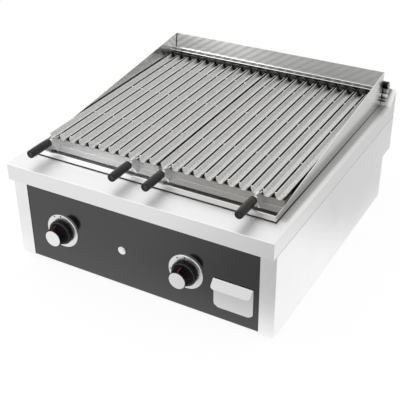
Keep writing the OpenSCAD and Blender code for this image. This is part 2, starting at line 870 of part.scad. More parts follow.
// Gas pipe: along the valves, then back under the firebox to the inlet
module gas_pipe() {
    inner = pipe_r - pipe_wall;
    end = low_back_y - sheet - seam_gap;
    corner = [pipe_left, pipe_y, pipe_z];
    color("gold") in_body() difference() {
        union() {
            round_x(pipe_left, pipe_right, pipe_y, pipe_z, pipe_r);
            translate(corner) sphere(r = pipe_r);
            round_y(pipe_y, end, pipe_left, pipe_z, pipe_r);
        }
        round_x(pipe_left, pipe_right - pipe_wall, pipe_y, pipe_z, inner);
        translate(corner) sphere(r = inner);
        round_y(pipe_y, end + over, pipe_left, pipe_z, inner);
    }
}

// Gas inlet at the back: flange, hexagon and threaded spigot
module gas_inlet() {
    y = low_back_y;
    hex_y = y + inlet_flange_t;
    end = hex_y + inlet_hex_l + inlet_l;
    color("goldenrod") in_body() difference() {
        union() {
            round_y(y - sheet - seam_gap, end, pipe_left, pipe_z, inlet_r);
            round_y(y, hex_y, pipe_left, pipe_z, inlet_flange_r);
            translate([pipe_left, hex_y, pipe_z]) rotate([-90, 0, 0])
                cylinder(h = inlet_hex_l, r = inlet_hex_r, $fn = 6);
        }
        round_y(y - 2 * sheet, end + over, pipe_left, pipe_z, pipe_r - pipe_wall);
    }
}

// Gas valve on the pipe, with the chamber for the plunger and its spring
module valve(x) {
    foot = valve_foot / 2;
    color("darkkhaki") in_body() difference() {
        union() {
            round_y(valve_y, valve_end, x, knob_h, valve_r);
            block(x - foot, x + foot, pipe_y - foot, pipe_y + foot, pipe_z, knob_h);
        }
        round_x(x - valve_foot, x + valve_foot, pipe_y, pipe_z, pipe_r);
        block(x - valve_foot, x + valve_foot, pipe_y - valve_foot, pipe_y + valve_foot,
            pipe_z - over, pipe_z + pipe_r / 2);
        round_y(valve_y - over, chamber_y + over, x, knob_h, spindle_r + run_gap);
        round_y(chamber_y, chamber_end, x, knob_h, chamber_r);
    }
}

// Return springs, drawn as sleeves at the length they have when the knobs are pushed in
module valve_springs() {
    start = spindle_end + plunger_gap + plunger_t + knob_travel + plunger_gap;
    color("silver") in_body() for (x = [knob_left_x, knob_right_x])
        difference() {
            round_y(start, chamber_end, x, knob_h, chamber_r - slip_gap);
            round_y(start - over, chamber_end + over, x, knob_h, chamber_r - slip_gap - spring_wall);
        }
}

// Plunger that the spindle pushes, which doesn't turn
module plunger(x) {
    start = spindle_end + plunger_gap;
    color("goldenrod") in_body() round_y(start, start + plunger_t, x, knob_h, chamber_r - run_gap);
}

module spindle(x) {
    color("silver") in_body() round_y(knob_face + spindle_in, spindle_end, x, knob_h, spindle_r);
}

// Knob: a cone with a skirt, hollow behind, on the spindle
module knob(x) {
    outline = [
        [spindle_r, knob_face + spindle_in], [spindle_r, knob_rear], [knob_skirt_r, knob_rear],
        [knob_skirt_r, knob_cone_y], [knob_root_r, knob_cone_y], [knob_front_r, knob_face],
        [0, knob_face], [0, knob_face + spindle_in]];
    color("black") in_body() translate([x, 0, knob_h]) rotate([-90, 0, 0])
        difference() {
            rotate_extrude() polygon(outline);
            difference() {
                translate([0, 0, knob_rear - knob_skin])
                    cylinder(h = knob_skin + over, r = knob_root_r - knob_skin);
                translate([0, 0, knob_rear - knob_skin]) cylinder(h = knob_skin + over, r = knob_hub_r);
            }
        }
}

// Bright disc on the front of a knob
module knob_cap(x) {
    color("gainsboro") in_body() round_y(knob_face - cap_t, knob_face, x, knob_h, cap_r);
}

// Scale plate behind a knob: a shallow cup with a hub on the spindle's hole
module dial_plate(x) {
    color("lightgray") in_body() difference() {
        round_y(dial_face, panel_y, x, knob_h, dial_r);
        difference() {
            round_y(dial_face + dial_lip, panel_y + over, x, knob_h, dial_r - dial_lip);
            round_y(dial_face, panel_y + over, x, knob_h, dial_hole_r + dial_lip);
        }
        round_y(dial_face - over, panel_y + over, x, knob_h, dial_hole_r);
    }
}

// Barrel of the spark lighter, through the panel, with its bezel and nut
module lighter_barrel() {
    bore = lighter_r + run_gap;
    outer = lighter_r + lighter_wall;
    face = panel_y - lighter_bezel_t;
    color("silver") in_body() difference() {
        union() {
            round_y(face, panel_y, lighter_x, knob_h, lighter_bezel_r);
            round_y(panel_y, panel_y + lighter_barrel_l, lighter_x, knob_h, outer);
            translate([lighter_x, panel_back, knob_h]) rotate([-90, 0, 0])
                cylinder(h = nut_t, r = nut_r, $fn = 6);
        }
        round_y(face - over, panel_y + lighter_barrel_l - lighter_floor, lighter_x, knob_h, bore);
    }
}

// Spring of the lighter button, drawn at its pushed length
module lighter_spring() {
    start = panel_y - lighter_bezel_t - lighter_proud + lighter_l + lighter_travel + plunger_gap;
    end = panel_y + lighter_barrel_l - lighter_floor;
    color("silver") in_body() difference() {
        round_y(start, end, lighter_x, knob_h, lighter_r - slip_gap);
        round_y(start - over, end + over, lighter_x, knob_h, lighter_r - slip_gap - spring_wall);
    }
}

module lighter_button() {
    start = panel_y - lighter_bezel_t - lighter_proud;
    color("gainsboro") in_body() round_y(start, start + lighter_l, lighter_x, knob_h, lighter_r);
}

// Ceramic spark electrodes in the firebox's front wall
module electrodes() {
    start = fire_front + sheet - electrode_l / 2;
    inside = fire_front + sheet;
    color("white") in_body() for (x = [knob_left_x + electrode_gap, knob_right_x + electrode_gap])
        union() {
            round_y(start, start + electrode_l, x, electrode_z, electrode_r);
            round_y(inside, inside + plate_t, x, electrode_z, 2 * electrode_r);
            round_y(start + electrode_l, start + electrode_l + tip_l, x, electrode_z, tip_r);
        }
}

// Leads from the lighter to the two electrodes
module lighter_leads() {
    from_y = panel_y + lighter_barrel_l + lead_gap;
    to_y = fire_front + sheet - electrode_l / 2 - lead_gap;
    color("dimgray") in_body() for (s = [-1, 1]) {
        x = (s < 0 ? knob_left_x : knob_right_x) + electrode_gap;
        x0 = lighter_x + s * lighter_r / 2;
        points = [
            [x0, from_y, knob_h], [x0, lead_y, lead_z], [x, lead_y, lead_z], [x, to_y, electrode_z]];
        union() {
            for (i = [0 : len(points) - 2])
                link(points[i], points[i + 1], lead_r);
            for (i = [1 : len(points) - 2])
                translate(points[i]) sphere(r = lead_joint_r);
        }
    }
}

// Flame sensors beside the mixing tubes, each with its thin tube to the valve
module thermocouples() {
    start = fire_front - 3 * probe_r;
    end = header_y - burner_r / 2;
    color("peru") in_body() for (x = [knob_left_x, knob_right_x])
        union() {
            round_y(start, end, x - probe_gap, probe_z, probe_r);
            round_y(fire_front + sheet, fire_front + sheet + plate_t, x - probe_gap, probe_z, 2 * probe_r);
            link([x - valve_r / 2, valve_end + seam_gap, knob_h + valve_r / 2],
                [x - probe_gap, start, probe_z], tip_r);
            translate([x - probe_gap, start, probe_z]) sphere(r = tip_r);
        }
}

// Grease drawer: an open tray, which runs on two rails
module drawer_tray() {
    half = tray_w / 2;
    start = front_plate_y + sheet;
    color("silver") in_body() difference() {
        block(drawer_x - half, drawer_x + half, start, start + tray_l, tray_low, tray_top);
        block(drawer_x - half + sheet, drawer_x + half - sheet, start + sheet, start + tray_l - sheet,
            tray_low + sheet, tray_top + over);
    }
}

// Drawer front with rounded lower corners, folded out and down at the top into a pull lip
module drawer_front() {
    half = drawer_w / 2;
    lip_l = norm([lip_out, lip_drop]);
    color("gainsboro") in_body() translate([drawer_x, front_plate_y, drawer_low]) union() {
        upright_plate(half, drawer_front_h, front_corner_r);
        translate([0, 0, drawer_front_h]) rotate([-atan(lip_out / lip_drop), 0, 0])
            translate([0, 0, -lip_l]) upright_plate(half, lip_l, lip_corner_r);
    }
}

// A sheet in the plane of x and z, with its face at y = 0
module upright_plate(half, height, r) {
    translate([0, sheet, 0]) rotate([90, 0, 0]) linear_extrude(sheet) rounded_plate(half, height, r);
}

// Outline with its lower edge at y = 0 and its two lower corners rounded
module rounded_plate(half, height, r) {
    union() {
        translate([-half, r]) square([2 * half, height - r]);
        translate([r - half, 0]) square([2 * (half - r), height]);
        for (s = [-1, 1])
            translate([s * (half - r), r]) circle(r = r);
    }
}

// Two angle rails for the drawer, on the base plate
module drawer_rails() {
    half = tray_w / 2;
    ledge_z = tray_low - seam_gap;
    color("silver") in_body() for (s = [-1, 1])
        translate([drawer_x, 0, 0]) on_side(s) union() {
            block(half + seam_gap, half + seam_gap + rail_wall, panel_back, panel_back + tray_l,
                2 * sheet, ledge_z + rail_web_h);
            block(half - rail_ledge, half + seam_gap + rail_wall, panel_back, panel_back + tray_l,
                ledge_z - rail_wall, ledge_z);
        }
}

// Puts a grate's own frame at the pivot, at its slope, for the left or the right grate
module in_grate(s) {
    in_body() translate([s * grate_mid, pivot_y, pivot_z]) rotate([grate_slope, 0, 0]) children();
}

// Place of bar i, counted from the left of its grate
function bar_place(i) = (i - (bar_count + 1) / 2) * bar_pitch;

bar_outline = [
    [-bar_w / 2, bar_top], [-bar_base_w / 2, bar_low], [bar_base_w / 2, bar_low], [bar_w / 2, bar_top],
    [bar_w / 2 - bar_wall_x, bar_top],
    [bar_base_w / 2 + bar_slope * bar_wall - bar_wall_x, bar_low + bar_wall],
    [bar_wall_x - bar_base_w / 2 - bar_slope * bar_wall, bar_low + bar_wall],
    [bar_wall_x - bar_w / 2, bar_top]];

// V-shaped bars that lead the fat to the front, each closed at the back by a round end
module grate_bars(s) {
    end_r = (bar_end_rise + bar_w * bar_w / 4 / bar_end_rise) / 2;
    end_back = pivot_back - bar_wall;
    closed = [
        [-bar_w / 2, bar_top], [-bar_base_w / 2, bar_low], [bar_base_w / 2, bar_low], [bar_w / 2, bar_top]];
    color("silver") in_grate(s) for (i = [1 : bar_count])
        translate([bar_place(i), 0, 0]) union() {
            bar_y(bar_y0, pivot_back, bar_outline);
            bar_y(end_back, pivot_back, closed);
            intersection() {
                round_y(end_back, pivot_back, 0, bar_top + bar_end_rise - end_r, end_r);
                block(-bar_w, bar_w, bar_y0, 2 * pivot_back, bar_top - bar_wall / 2, bar_top + bar_w);
            }
        }
}

// Comb that holds the front of the bars, its outer cheek, two middle rods and the pivot rod
module grate_frame(s) {
    solid_bar = [
        [-bar_w / 2 - bar_slope, bar_top + over], [-bar_base_w / 2, bar_low], [bar_base_w / 2, bar_low],
        [bar_w / 2 + bar_slope, bar_top + over]];
    teeth = bar_top - comb_drop;
    color("gray") in_grate(s) {
        difference() {
            block(-rod_half, rod_half, comb_y, comb_y + comb_t, comb_low, teeth);
            for (i = [1 : bar_count])
                translate([bar_place(i), 0, 0]) bar_y(comb_y - over, comb_y + comb_t + over, solid_bar);
        }
        on_side(s) block(rod_half - cheek_t, rod_half, comb_y + comb_t + run_gap, comb_y + cheek_l,
            comb_low, bar_low + cheek_h);
        for (y = [mid_rod_y, mid_rod_y + mid_rod_pitch])
            round_x(-rod_half, rod_half, y, 0, rod_r);
        round_x(-rod_half, rod_half, 0, 0, rod_r);
    }
}

// Place of the latch beside bar i
function latch_place(i) = bar_place(i) + bar_pitch / 2;

// Upright latch plate with the rod that holds a grip
module latches(s) {
    y = comb_y;
    z = handle_z;
    toe_z = rest_z - pivot_z - sin(grate_slope) * y;
    plate = [
        [y - latch_l, z - latch_head_h], [y - latch_l, z + latch_head_h],
        [y - latch_head_l, z + latch_head_h], [y - comb_t - latch_head_h, z - slip_gap], [y, z - slip_gap],
        [y, toe_z + slip_gap], [rest_y - pivot_y - slip_gap, toe_z + slip_gap],
        [rest_y - pivot_y - slip_gap, toe_z - latch_toe_h],
        [rest_y - pivot_y - latch_toe_l, toe_z - latch_toe_h],
        [y - latch_head_l, toe_z + slip_gap]];
    color("darkgray") in_grate(s) for (i = [latch_first, latch_second])
        translate([latch_place(i), 0, 0]) union() {
            bar_x(-latch_t / 2, latch_t / 2, plate);
            round_y(grip_y0 + grip_r, y - latch_l + handle_weld, 0, z, handle_rod_r);
        }
}

// Black grips on the latch rods
module grips(s) {
    y0 = grip_y0;
    y1 = grip_y0 + grip_l;
    outline = [
        [0, y0], [grip_r - grip_bevel, y0], [grip_r, y0 + grip_bevel], [grip_r, y1 - grip_bevel],
        [grip_r - grip_bevel, y1], [0, y1]];
    color("black") in_grate(s) for (i = [latch_first, latch_second])
        translate([latch_place(i), 0, handle_z]) rotate([-90, 0, 0]) difference() {
            rotate_extrude() polygon(outline);
            translate([0, 0, y0 + grip_r]) cylinder(h = grip_l, r = handle_rod_r);
        }
}

// Screws of the two back covers
module screws() {
    color("silver") in_body() for (sx = [-1, 0, 1]) {
        for (z = [screw_edge, step_z - screw_edge])
            round_y(low_back_y, low_back_y + screw_h, sx * (in_w - screw_edge), z, screw_r);
        for (z = [step_z + screw_edge, side_top_z - screw_edge])
            round_y(body_d, body_d + screw_h, sx * (in_w - screw_edge), z, screw_r);
    }
}

side_panel(-1);  // side_panel_left
side_panel(1);  // side_panel_right
base_plate();
rear_cover();
upper_back();
control_panel();
worktop();
front_rim();
splash_guard();
feet();
foot_bolts();
firebox();
gutter();
drain_chute();
rest_bar();
pivot_brackets();
flue_duct();
flue_hood();
plate_rails();
heat_plates(-1);  // heat_plates_left
heat_plates(1);  // heat_plates_right
burner(-1, knob_left_x);  // burner_left
burner(1, knob_right_x);  // burner_right
air_shutter(knob_left_x);  // air_shutter_left
air_shutter(knob_right_x);  // air_shutter_right
injectors();
gas_pipe();
gas_inlet();
valve(knob_left_x);  // valve_left
valve(knob_right_x);  // valve_right
valve_springs();
plunger(knob_left_x);  // plunger_left
plunger(knob_right_x);  // plunger_right
spindle(knob_left_x);  // spindle_left
spindle(knob_right_x);  // spindle_right
knob(knob_left_x);  // knob_left
knob(knob_right_x);  // knob_right
knob_cap(knob_left_x);  // knob_cap_left
knob_cap(knob_right_x);  // knob_cap_right
dial_plate(knob_left_x);  // dial_plate_left
dial_plate(knob_right_x);  // dial_plate_right
lighter_barrel();
lighter_spring();
lighter_button();
electrodes();
lighter_leads();
thermocouples();
drawer_tray();
drawer_front();
drawer_rails();
grate_bars(-1);  // grate_bars_left
grate_bars(1);  // grate_bars_right
grate_frame(-1);  // grate_frame_left
grate_frame(1);  // grate_frame_right
latches(-1);  // latches_left
latches(1);  // latches_right
grips(-1);  // grips_left
grips(1);  // grips_right
screws();
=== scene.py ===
"""Looks of the tabletop gas grill: finishes, dressed pieces, studio and camera.

Finishes, lights and the camera are in metres. The functions that build pieces work in millimetres, as do
all names that end in _mm, and piece() turns their points into metres. The frame is the row's: the origin
is on the surface that the feet stand on, in the middle of the floor space taken up, with +X to the right,
+Y to the back and +Z up. Places come from the frame's nodes and joints.
"""
import json
import math

import bmesh
import bpy
import numpy as np
from mathutils import Matrix, Vector


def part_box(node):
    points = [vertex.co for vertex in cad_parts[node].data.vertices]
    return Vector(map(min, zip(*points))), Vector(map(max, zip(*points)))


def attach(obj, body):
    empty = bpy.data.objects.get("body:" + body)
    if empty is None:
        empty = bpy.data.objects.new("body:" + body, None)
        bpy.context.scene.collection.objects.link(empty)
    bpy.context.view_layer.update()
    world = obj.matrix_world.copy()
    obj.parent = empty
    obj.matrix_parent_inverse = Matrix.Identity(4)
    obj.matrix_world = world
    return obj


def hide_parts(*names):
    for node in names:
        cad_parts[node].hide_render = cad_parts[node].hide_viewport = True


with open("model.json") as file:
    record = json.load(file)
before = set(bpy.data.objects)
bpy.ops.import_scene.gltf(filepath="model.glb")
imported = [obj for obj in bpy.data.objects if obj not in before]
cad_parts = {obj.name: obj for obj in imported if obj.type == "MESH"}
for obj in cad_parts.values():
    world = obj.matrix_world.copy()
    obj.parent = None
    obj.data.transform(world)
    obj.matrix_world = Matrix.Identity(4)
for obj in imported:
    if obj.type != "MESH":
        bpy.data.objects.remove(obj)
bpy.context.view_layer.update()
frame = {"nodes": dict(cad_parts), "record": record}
MM = 0.001
SIDES = ("left", "right")
scene = bpy.context.scene


# Finishes

def hex_rgb(code):
    """Linear red, green, blue and alpha of an sRGB colour written as six hex digits."""
    parts = [int(code[i:i + 2], 16) / 255 for i in (0, 2, 4)]
    return [p / 12.92 if p <= 0.04045 else ((p + 0.055) / 1.055) ** 2.4 for p in parts] + [1.0]


def add(tree, kind, settings=(), **links):
    """Adds a node of one kind, with its settings, and links or sets its inputs by name or number."""
    node = tree.nodes.new("ShaderNode" + kind)
    for name, value in dict(settings).items():
        setattr(node, name, value)
    for name, value in links.items():
        key = int(name[1:]) if name[0] == "i" and name[1:].isdigit() else name.replace("_", " ")
        socket = node.inputs[key]
        if isinstance(value, bpy.types.NodeSocket):
            tree.links.new(value, socket)
        else:
            socket.default_value = value
    return node


def calc(tree, operation, *values):
    """The result of a Math node on its values."""
    inputs = {"i" + str(i): value for i, value in enumerate(values)}
    return add(tree, "Math", {"operation": operation}, **inputs).outputs[0]


def mapped(tree, value, start=0.0, end=1.0, low=0.0, high=1.0, smooth=False):
    """Value mapped from the run start to end onto low to high, and held beyond both ends."""
    settings = {"interpolation_type": "SMOOTHSTEP"} if smooth else {}
    return add(tree, "MapRange", settings, Value=value, From_Min=start, From_Max=end, To_Min=low,
               To_Max=high).outputs["Result"]


def mixed_colour(tree, share, first, second):
    """A colour between two, by a share; each is a socket or six hex digits."""
    node = add(tree, "Mix", {"data_type": "RGBA"}, Factor=share)
    for key, colour in ((6, first), (7, second)):
        if isinstance(colour, str):
            node.inputs[key].default_value = hex_rgb(colour)
        else:
            tree.links.new(colour, node.inputs[key])
    return node.outputs[2]


def ramp(tree, factor, stops):
    """A colour ramp through (place, sRGB hex) stops, driven by factor."""
    node = add(tree, "ValToRGB", Fac=factor)
    elements = node.color_ramp.elements
    while len(elements) < len(stops):
        elements.new(0.5)
    for element, (place, code) in zip(elements, stops):
        element.position = place
        element.color = hex_rgb(code)
    return node.outputs["Color"]


def coordinates(tree, scale=(1, 1, 1)):
    """Object coordinates, in metres, scaled for a pattern."""
    place = add(tree, "TexCoord").outputs["Object"]
    return add(tree, "Mapping", Vector=place, Scale=scale).outputs["Vector"]


def places(tree):
    """Object coordinates as three outputs, X, Y and Z."""
    return add(tree, "SeparateXYZ", Vector=coordinates(tree)).outputs


def cloud(tree, size_mm, detail=2.0):
    """Even noise in patches about size_mm wide."""
    fine = 1.0 / (size_mm * MM)
    return add(tree, "TexNoise", Vector=coordinates(tree), Scale=fine, Detail=detail).outputs["Fac"]


def grain(tree, grain_mm, along, length):
    """Noise whose streaks are grain_mm wide and length times as long in the directions of along."""
    fine = 1.0 / (grain_mm * MM)
    scale = [fine / length if axis in along else fine for axis in "xyz"]
    return add(tree, "TexNoise", Vector=coordinates(tree, scale), Scale=1.0, Detail=3.0).outputs["Fac"]


def stained(tree, colour, painted_tone, axis, start, end, strength, ragged_mm):
    """Colour that turns to a painted tone between two places on an axis, with an edge broken up by a 9 mm
    cloud.
    """
    shift = mapped(tree, cloud(tree, 9, detail=3.0), low=-ragged_mm * MM, high=ragged_mm * MM)
    moved = calc(tree, "ADD", places(tree)[axis], shift)
    share = mapped(tree, moved, start, end, high=strength, smooth=True)
    return mixed_colour(tree, share, colour, painted_tone)


def streaked(tree, colour, painted_tone, pitch_mm, lean, strength):
    """Colour with soft upright streaks of a painted tone along X, pitch_mm apart, that lean by lean with
    height.
    """
    place = places(tree)
    leant = calc(tree, "MULTIPLY_ADD", place["Z"], -lean, place["X"])
    wave = calc(tree, "SINE", calc(tree, "MULTIPLY", leant, 2 * math.pi / (pitch_mm * MM)))
    share = mapped(tree, wave, start=-0.4, high=strength)
    return mixed_colour(tree, share, colour, painted_tone)


def new_finish(name):
    """An empty material, and its node tree."""
    finish = bpy.data.materials.new(name)
    finish.use_nodes = True
    finish.node_tree.nodes.clear()
    return finish, finish.node_tree


def surface(tree, **values):
    """A Principled shader with these values, set as the material's surface."""
    shader = add(tree, "BsdfPrincipled", **values)
    add(tree, "OutputMaterial", Surface=shader.outputs["BSDF"])
    return shader


def relief(tree, height, strength, depth_mm):
    """The normal of a surface that height raises by up to depth_mm."""
    return add(tree, "Bump", Height=height, Strength=strength, Distance=depth_mm * MM).outputs["Normal"]


def steel(name, light, dark, roughness, grain_mm, along, bump=0.1, spread=0.06, cloud_mm=120.0,
          length=60.0, streaks_of=None, painted_tones=(), smear=None):
    """Sheet or bar metal with a ground grain.

    The colour runs between light and dark with the streaks and a slow cloud, and the roughness moves by
    spread with the streaks. A painted tone is (colour, axis, start, end, strength, ragged_mm): it paints
    shade and reflections into the colour, and the plain colour back where they end. streaks_of is
    (colour, pitch_mm, lean, strength), and paints a streaked reflection. smear is the direction in which a
    ground sheet draws its reflections out. A metal keeps the default IOR.
    """
    finish, tree = new_finish(name)
    streaks = grain(tree, grain_mm, along, length)
    blend = calc(tree, "MULTIPLY", calc(tree, "ADD", streaks, cloud(tree, cloud_mm)), 0.5)
    colour = ramp(tree, blend, [(0.35, dark), (0.62, light)])
    if streaks_of:
        colour = streaked(tree, colour, *streaks_of)
    for painted_tone in painted_tones:
        colour = stained(tree, colour, *painted_tone)
    rough = mapped(tree, streaks, low=roughness - spread, high=roughness + spread)
    shader = surface(tree, Base_Color=colour, Metallic=1.0, Normal=relief(tree, streaks, bump, 0.2),
                     Roughness=rough)
    if smear:
        along_smear = add(tree, "CombineXYZ", X=smear[0], Y=smear[1], Z=smear[2]).outputs["Vector"]
        tree.links.new(along_smear, shader.inputs["Tangent"])
        shader.inputs["Anisotropic"].default_value = 0.75
    return finish


def moulded(name, light, dark, roughness, grain_mm, ior=1.5, bump=0.15, coat=0.0):
    """A plastic, rubber, paint or ceramic: two close colours and a fine even grain."""
    finish, tree = new_finish(name)
    speck = cloud(tree, grain_mm)
    colour = ramp(tree, speck, [(0.35, dark), (0.65, light)])
    rough = mapped(tree, speck, low=roughness - 0.05, high=roughness + 0.05)
    surface(tree, Base_Color=colour, IOR=ior, Coat_Weight=coat, Normal=relief(tree, speck, bump, 0.1),
            Roughness=rough)
    return finish


# Sizes that the CAD source holds too, and places of nodes that a finish changes at

bar_pitch_mm = 24.6
guard_sheet_mm = 1.5
drawer_sheet_mm = 1.5
bar_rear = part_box("grate_bars_left")[1][1]
bar_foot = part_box("grate_bars_left")[0][2] + 0.4 * MM
hood_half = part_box("flue_hood")[1][0]
hood_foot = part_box("flue_hood")[0][2]
guard_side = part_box("splash_guard")[1][0]
guard_inside = guard_side - guard_sheet_mm * MM
rim_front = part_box("front_rim")[0][1]
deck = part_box("front_rim")[0][2]
drawer_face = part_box("drawer_tray")[0][1] - drawer_sheet_mm * MM

# Stainless sheet of the worktop, polished: it shows its neighbours softly. A grey strip along the right
# wing's foot is a painted reflection of the wing. The second and third entry end the painted strip again.
polished = steel("polished stainless sheet", "F3F3F3", "F0F0F0", 0.47, 0.5, "x", bump=0.0, spread=0.01,
                 painted_tones=[("B8B8B6", "X", guard_side - 12 * MM, guard_side - 2 * MM, 0.85, 1.0),
                         ("F2F2F2", "X", guard_side + 12 * MM, guard_side + 20 * MM, 1.0, 1.0),
                         ("F2F2F2", "Y", rim_front + 22 * MM, rim_front, 1.0, 1.0)])
# Rim: the same sheet, brighter polished, and greyed towards the right by painted shade
bright = steel("bright polished stainless sheet", "F6F6F6", "F2F2F2", 0.17, 0.5, "x", bump=0.0, spread=0.01,
               painted_tones=[("C8C8C7", "X", -0.08, 0.12, 0.9, 6.0)])
# Rest bar: dulled by cleaning, bare at the left and greyed towards the right by painted shade
painted_right_shade = ("DAD9D7", "X", -0.06, 0.12, 0.9, 6.0)
wiped = steel("wiped stainless sheet", "FFFFFF", "FCFCFC", 0.75, 0.8, "x", bump=0.0, spread=0.03,
              painted_tones=[painted_right_shade])
# Gutter: the rim's sheet under the same painted shade
right_shaded = steel("greased stainless sheet", "F4F4F4", "EEEEEE", 0.3, 0.8, "x", bump=0.0, painted_tones=[painted_right_shade])
# Posts, sides and covers: the same sheet, satin ground upwards
satin = steel("satin stainless sheet", "FBFBFB", "F3F3F3", 0.34, 0.5, "z", bump=0.02, spread=0.04)
# Guard sheet, ground along its length, so it draws reflections out upwards: on its back, leaning streaks
# at the bars' pitch are a painted reflection of the bars, and a grey film to the right is painted shade.
# The wings keep the plain sheet colour, and the foot below the ledge is darkened by painted shade.
guard_steel = steel("ground stainless guard sheet", "F6F6F5", "E8E8E7", 0.21, 0.8, "xy", bump=0.005,
                    streaks_of=("9C9C9A", bar_pitch_mm, 1.5, 0.36),
                    painted_tones=[("A8A8A6", "X", -0.15, 0.15, 0.72, 8.0),
                            ("E6E6E5", "X", guard_inside - 0.4 * MM, guard_inside - 0.2 * MM, 1.0, 0.1),
                            ("E6E6E5", "X", 0.4 * MM - guard_inside, 0.2 * MM - guard_inside, 1.0, 0.1),
                            ("A4A4A2", "Z", deck + 30 * MM, deck + 8 * MM, 0.5, 1.0)],
                    smear=(0.03, 0.02, 1.0))
# Drawer front: the same sheet with a plain satin face, and its lip darkened by painted shade
drawer_steel = steel("satin stainless drawer sheet", "E8E8E8", "E2E2E2", 0.4, 0.5, "x", bump=0.01,
                     spread=0.02,
                     painted_tones=[("D2D2D2", "Y", drawer_face - 0.3 * MM, drawer_face - 2 * MM, 1.0, 0.1)])
# Bars, blasted then ground: sandy and matt, darkened at the closed end by painted shade and a painted dark
# reflection in the bowls
bar_steel = steel("blasted stainless bar", "E5E5E4", "BEBEBD", 0.4, 1.8, "y", bump=0.35, spread=0.08,
                  cloud_mm=3.0, length=2.5,
                  painted_tones=[("343230", "Y", bar_rear - 19 * MM, bar_rear - 10 * MM, 0.96, 3.0)])
# Latches, spindles and weld beads: bright drawn steel
rod_steel = steel("drawn stainless rod", "F4F4F4", "E2E2E2", 0.33, 0.8, "x", bump=0.02)
# Combs under the bars: bright below the bars, and darkened between them by painted shade
comb_steel = steel("shade-painted comb steel", "FFFFFF", "FCFCFC", 0.55, 1.2, "x", bump=0.0,
                   painted_tones=[painted_right_shade,
                           ("2E2C2A", "Z", bar_foot - 0.5 * MM, bar_foot + 0.5 * MM, 0.97, 0.2)])
# Base plate and drain chute, as they come from the mill
mill_steel = steel("mill finish steel sheet", "A3A29F", "8C8A86", 0.42, 0.9, "y")
# Firebox, flue duct, brackets and rails, dark with soot; the same dark fills the strips of painted shade
# under the hood's louvres
soot_and_shade_steel = steel("soot-darkened steel sheet", "4A4642", "2C2926", 0.6, 2.0, "y", bump=0.2, length=5.0)
# Gas pipe, screws, foot bolts, springs, air shutters and drawer rails, zinc plated
zinc = steel("zinc plated steel", "C2C4C5", "A6A9AA", 0.4, 2.0, "z", length=2.0)
# Aluminium: the caps and the lighter are satin, and the scale plates are bright
aluminium = steel("satin turned aluminium", "FCFCFC", "F6F6F6", 0.3, 0.4, "x", bump=0.02)
plate_metal = steel("bright turned aluminium", "F2F2F2", "ECECEC", 0.33, 0.4, "x", bump=0.01, spread=0.02)
# Gas inlet, valves, plungers and injectors
brass = steel("machined brass", "D8B36A", "BE964C", 0.3, 0.7, "x")
# Thermocouples
copper = steel("drawn copper", "C98A64", "A96A48", 0.35, 0.8, "y")
# Burners and heat plates: steel dulled by heat
burnt_steel = steel("heat-dulled steel", "5A544D", "383330", 0.55, 3.0, "y", bump=0.3, length=4.0)
# Control panel: black enamel, smooth enough to show the knobs, with a very faint orange peel
panel_coat = moulded("smooth black enamel", "0A0A0A", "080808", 0.12, 1.0, ior=1.75, bump=0.01)
# Thermoset grips: matt black with a fine moulded grain
grip_plastic = moulded("matt black thermoset", "161616", "101010", 0.28, 0.9, ior=1.42, bump=0.12)
# Knobs: deep black phenolic with soft edges of light
knob_plastic = moulded("black phenolic", "080808", "060606", 0.22, 0.8, ior=1.3, bump=0.02)
# Their ring's edge: a grey line of painted highlight
highlight_painted_plastic = moulded("highlight-painted phenolic", "5A5A5A", "4A4A4A", 0.25, 0.8, bump=0.02)
# Index line of the knobs: red filling paint
index_paint = moulded("red filling paint", "B0201E", "981A18", 0.4, 0.6, bump=0.05)
# Dots of the scale plates: black stove enamel, printed
dot_ink = moulded("black printed enamel", "0C0C0C", "080808", 0.45, 0.5, bump=0.05)
# Feet; its black also draws the dark lines of painted shade at the guard's foot, under the worktop's skirt
# and in the guard's corners
rubber = moulded("black moulded rubber", "232323", "191919", 0.75, 1.2, bump=0.3)
# Sparking electrodes and their leads
ceramic = moulded("glazed white ceramic", "F0ECE2", "E4DFD3", 0.2, 2.0, coat=0.2)
lead_sleeve = moulded("red silicone sleeve", "8A2A22", "731F18", 0.5, 1.0)


def hood_finish():
    """Hood: polished steel, painted darker more and more towards its top as a painted dark reflection, and
    plain at both ends.
    """
    finish, tree = new_finish("dark-reflection-painted polished steel")
    place = places(tree)
    middle = mapped(tree, calc(tree, "ABSOLUTE", place["X"]), hood_half - 6 * MM, hood_half - 1 * MM,
                    low=1.0, high=0.35, smooth=True)
    upper = mapped(tree, place["Z"], hood_foot + 9 * MM, hood_foot + 30 * MM, low=0.2, smooth=True)
    colour = ramp(tree, calc(tree, "MULTIPLY", middle, upper), [(0.0, "DCDCDB"), (1.0, "1E1D1C")])
    rough = mapped(tree, grain(tree, 0.9, "x", 40.0), low=0.13, high=0.2)
    surface(tree, Base_Color=colour, Metallic=1.0, Roughness=rough)
    return finish


flue_steel = hood_finish()

SLOT_FINISH = {
    "bright_steel": polished, "satin_steel": satin, "guard_steel": guard_steel, "dark_panel": panel_coat,
    "bar_steel": bar_steel, "rod_steel": rod_steel, "black_grip": grip_plastic, "knob_black": knob_plastic,
    "cap_silver": aluminium, "dial_silver": plate_metal, "flue_dark": flue_steel, "inner_steel": mill_steel,
    "burner_steel": burnt_steel, "brass": brass, "pipe_steel": zinc, "rubber_black": rubber, "zinc": zinc,
    "ceramic_white": ceramic, "copper": copper, "lead_red": lead_sleeve,
}
NODE_FINISH = {
    "grate_frame_left": comb_steel, "grate_frame_right": comb_steel, "front_rim": bright, "gutter": right_shaded,
    "rest_bar": wiped, "firebox": soot_and_shade_steel, "pivot_brackets": soot_and_shade_steel, "plate_rails": soot_and_shade_steel,
    "flue_duct": soot_and_shade_steel, "lighter_barrel": aluminium,
}
node_slot = {entry["node"]: entry["material_slot"] for entry in frame["record"]["subparts"]}
